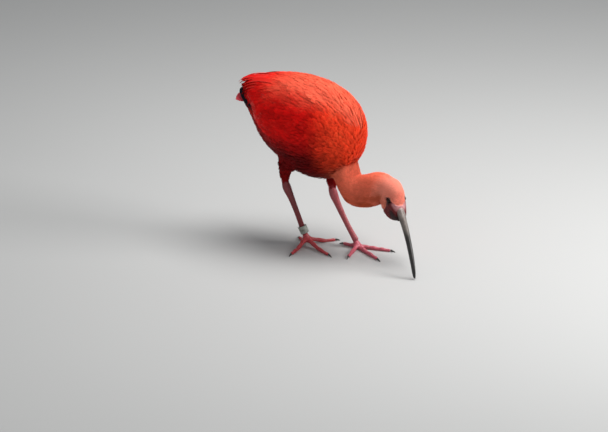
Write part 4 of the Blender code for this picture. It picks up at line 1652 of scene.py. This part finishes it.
# one half: its rounded outer side, then the flat side where the two halves meet
def billHalf(name, hand):
    size = billSizes
    slant = radians(size["basePitch"] - size["facePitch"])
    corners, shares, turns = [], [], []
    for share, place, forward, upward in billLine():
        wide = np.interp(share, size["shares"], size["halfWidth"])
        deep = np.interp(share, size["shares"], size["halfDepth"])
        lean = slant * max(1 - share / size["slantShare"], 0)
        shrink = 1 - 0.10 * eased(0.055, 0.0, share)  # sinks in under the face
        for j in range(size["around"] + 1):
            turn = pi * j / size["around"]
            off = abs(turn - pi / 2)
            wear = 0.10 * sin(share * 90 + 3 * cos(turn)) * (share > 0.5) * min(deep, 2) / 2
            cut = billCut(share, off) * (hand > 0)
            ridge = 0.25 * np.exp(-((off / 0.30) ** 2)) * (1 - share)
            side = (wide - cut * 0.7) * cos(turn) * shrink
            rise = ((deep - cut - wear * 0.3) * sin(turn) + ridge) * shrink + size["seam"]
            spot = place + headLeft * (side * mm) + upward * (rise * mm * hand * cos(lean))
            corners.append(spot + forward * (rise * mm * hand * sin(lean)))
            shares.append(share)
            turns.append(off / (pi / 2))
    ring = size["around"] + 1
    faces = ringQuads(size["rings"] + 1, ring)
    faces.append(tuple(range(ring)))
    faces.append(tuple(size["rings"] * ring + j for j in range(ring)))
    mesh = meshFrom(name, corners, faces)
    store(mesh, "share", shares)
    store(mesh, "turn", turns)
    return turnedOut(mesh)


def billMaterial(name, colours):
    paint = Paint(name, 0.34)
    share, turn = paint.attribute("share"), paint.attribute("turn")
    colour = paint.coloured(share, list(zip(billColoursWithPaintedLight["places"], colours)))
    tone = paint.ramped(paint.noise(90.0, 3.0), 0.35, 0.65, 0.70, 1.35)
    # painted highlight: brighter along the ridge, darker down the sides
    tone = paint.product(tone, paint.ramped(turn, 0.0, 1.0, 1.35, 0.6))
    colour = paint.vector("SCALE", colour, tone)
    return paint.finish(colour, paint.noise(420.0, 4.0), 0.35, 0.0003)


# the upper half's grey is mostly a painted highlight on the black horn; the lower half is darker
# as its painted shaded copy
billColoursWithPaintedLight = {  # from the base to the tip
    "places": (0, 0.05, 0.27, 0.41, 1),
    "upper": (
        (0.28, 0.20, 0.18), (0.24, 0.20, 0.18), (0.145, 0.125, 0.112), (0.032, 0.027, 0.024),
        (0.010, 0.009, 0.009),
    ),
    "lower": (
        (0.040, 0.025, 0.023), (0.060, 0.048, 0.043), (0.045, 0.038, 0.034), (0.018, 0.015, 0.014),
        (0.009, 0.008, 0.008),
    ),
}
for name, hand in (("upper", 1), ("lower", -1)):
    half = billHalf(f"bill_{name}_horn", hand)
    half.materials.append(billMaterial(f"{name}BillHornWithPaintedLight", billColoursWithPaintedLight[name]))
    finishPiece(f"bill_{name}_horn", half, "bill_horn", f"bill_{name}")

# eyes
eyeSizes = {
    "radius": 0.00545,
    "cornea": 0.00042,  # how far it bulges
    "corneaEdge": 46,  # degrees off the eye's axis
    "pupilEdge": 21,
    "irisEdge": 44,
    "rings": 40,
    "around": 48,
}
eyeColours = {
    "pupil": (0.002, 0.002, 0.002),
    "irisInside": (0.030, 0.010, 0.006),
    "iris": (0.022, 0.007, 0.004),
    "irisRim": (0.004, 0.002, 0.002),
    "white": (0.012, 0.009, 0.008),
}


# a ball with a slight bulge for the cornea
def eyeMesh(name, centre, hand):
    size = eyeSizes
    along, above, axis = eyeAxes(hand)
    corners, angles, faces = [], [], []
    for k in range(size["rings"] + 1):
        angle = 180 * (k / size["rings"]) ** 1.2
        reach = size["radius"] + size["cornea"] * max(1 - (angle / size["corneaEdge"]) ** 2, 0)
        for j in range(1 if k in (0, size["rings"]) else size["around"]):
            turn = 2 * pi * j / size["around"]
            around = along * cos(turn) + above * sin(turn)
            out = axis * cos(radians(angle)) + around * sin(radians(angle))
            corners.append(centre + out * reach)
            angles.append(angle)
    ring, last = size["around"], len(corners) - 1
    for j in range(ring):
        faces.append((0, 1 + j, 1 + (j + 1) % ring))
        faces.append((last, last - ring + j, last - ring + (j + 1) % ring))
    faces += ringQuads(size["rings"] - 1, ring, 1)
    mesh = meshFrom(name, corners, faces)
    store(mesh, "fromAxis", angles)
    return turnedOut(mesh)


def eyeMaterial():
    paint = Paint("eyeBall", 0.10, 0.22)
    share = paint.ramped(paint.attribute("fromAxis"), 0.0, 90.0, 0.0, 1.0)
    pupil, iris = eyeSizes["pupilEdge"] / 90, eyeSizes["irisEdge"] / 90
    places = {
        "pupil": (0, pupil), "irisInside": (pupil + 0.02,), "iris": (iris - 0.08,),
        "irisRim": (iris,), "white": (iris + 0.05, 1),
    }
    stops = [(at, eyeColours[part]) for part, ats in places.items() for at in ats]
    return paint.finish(paint.coloured(share, stops))


eyeGlass = eyeMaterial()
for side, hand in hands.items():
    ball = eyeMesh(f"eyeball_{side}", eyeCentre(hand), hand)
    ball.materials.append(eyeGlass)
    finishPiece(f"eyeball_{side}", ball, "eye", f"eye_{side}")


# claws: the solids made round, of finely streaked horn
def clawMaterial():
    paint = Paint("clawHorn", 0.38)
    streak = paint.noise(500.0, 3.0)
    tint = paint.coloured(streak, ((0, (0.010, 0.008, 0.008)), (1, (0.055, 0.040, 0.036))))
    return paint.finish(tint, streak)


def makeClaw(node, material):
    holder = newObject(node + "Holder", takenMesh(mergedNode(node), node))
    rounding = holder.modifiers.new("round", "SUBSURF")
    rounding.levels = rounding.render_levels = 2
    mesh = meshOf(holder)
    floored(mesh)
    mesh.materials.clear()
    mesh.materials.append(material)
    finishPiece(node + "_horn", mesh, "claw_horn", node)


clawHorn = clawMaterial()
for toe in toes:
    for side in sides:
        makeClaw(f"claw_{toe}_{side}", clawHorn)

# leg ring: a plain band of worn plastic, turned round its own axis
ringSizes = {"around": 96, "round": 0.0004, "wear": 0.00010, "steps": 4}


# middle, axis, height, inner and outer radius, from the solid in the frame
def ringShape():
    places = coordinates(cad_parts["leg_ring"].data)
    centre = places.mean(0)
    _, _, axes = np.linalg.svd(places - centre, full_matrices=False)
    fits = []
    for axis in axes:
        along = (places - centre) @ axis
        reach = np.linalg.norm(places - centre - np.outer(along, axis), axis=1)
        spread = np.minimum(np.abs(reach - reach.min()), np.abs(reach - reach.max())).max()
        fits.append((spread, Vector(axis), np.ptp(along), reach.min(), reach.max()))
    return Vector(centre), *min(fits, key=lambda fit: fit[0])[1:]


def ringMesh():
    centre, axis, height, inner, outer = ringShape()
    first = axis.orthogonal().normalized()
    second = axis.cross(first)
    size = ringSizes["round"]
    out, into, high = outer - size, inner + size, height / 2 - size
    profile = []
    rounds = ((out, high, 0), (into, high, 90), (into, -high, 180), (out, -high, 270))
    for radius, level, start in rounds:
        for k in range(ringSizes["steps"] + 1):
            turn = radians(start + 90 * k / ringSizes["steps"])
            profile.append((radius + size * cos(turn), level + size * sin(turn)))
    corners, faces = [], []
    around, count = ringSizes["around"], len(profile)
    for k in range(around):
        turn = 2 * pi * k / around
        outward = first * cos(turn) + second * sin(turn)
        for radius, high in profile:
            worn = noise.noise(Vector((cos(turn) * 2, sin(turn) * 2, high * 300)))
            worn *= ringSizes["wear"] * (radius > inner + size)
            corners.append(centre + outward * (radius + worn) + axis * high)
        a, b = k * count, (k + 1) % around * count
        for j in range(count):
            following = (j + 1) % count
            faces.append((a + j, b + j, b + following, a + following))
    return turnedOut(meshFrom("leg_band", corners, faces))


def ringMaterial():
    paint = Paint("ringPlastic", 0.5)
    stain = paint.noise(130.0, 6.0)
    tint = paint.coloured(stain, ((0.30, (0.20, 0.20, 0.16)), (0.62, (0.50, 0.55, 0.49))))
    return paint.finish(tint, stain, 0.4, 0.0004)


band = ringMesh()
band.materials.append(ringMaterial())
finishPiece("leg_band", band, "ring_plastic", "leg_ring")

# the skin itself, with the lids added and what only the coats read taken off
for vane in vaneObjects.values():
    bpy.data.objects.remove(vane)
finishedSkin = addLids(skinMesh)
dropAttributes(finishedSkin, {"pigment"})
finishedSkin.materials.append(skin.data.materials[0])
bpy.data.objects.remove(skin)
finishPiece("skin", finishedSkin, "leg_skin", *fleshNodes)
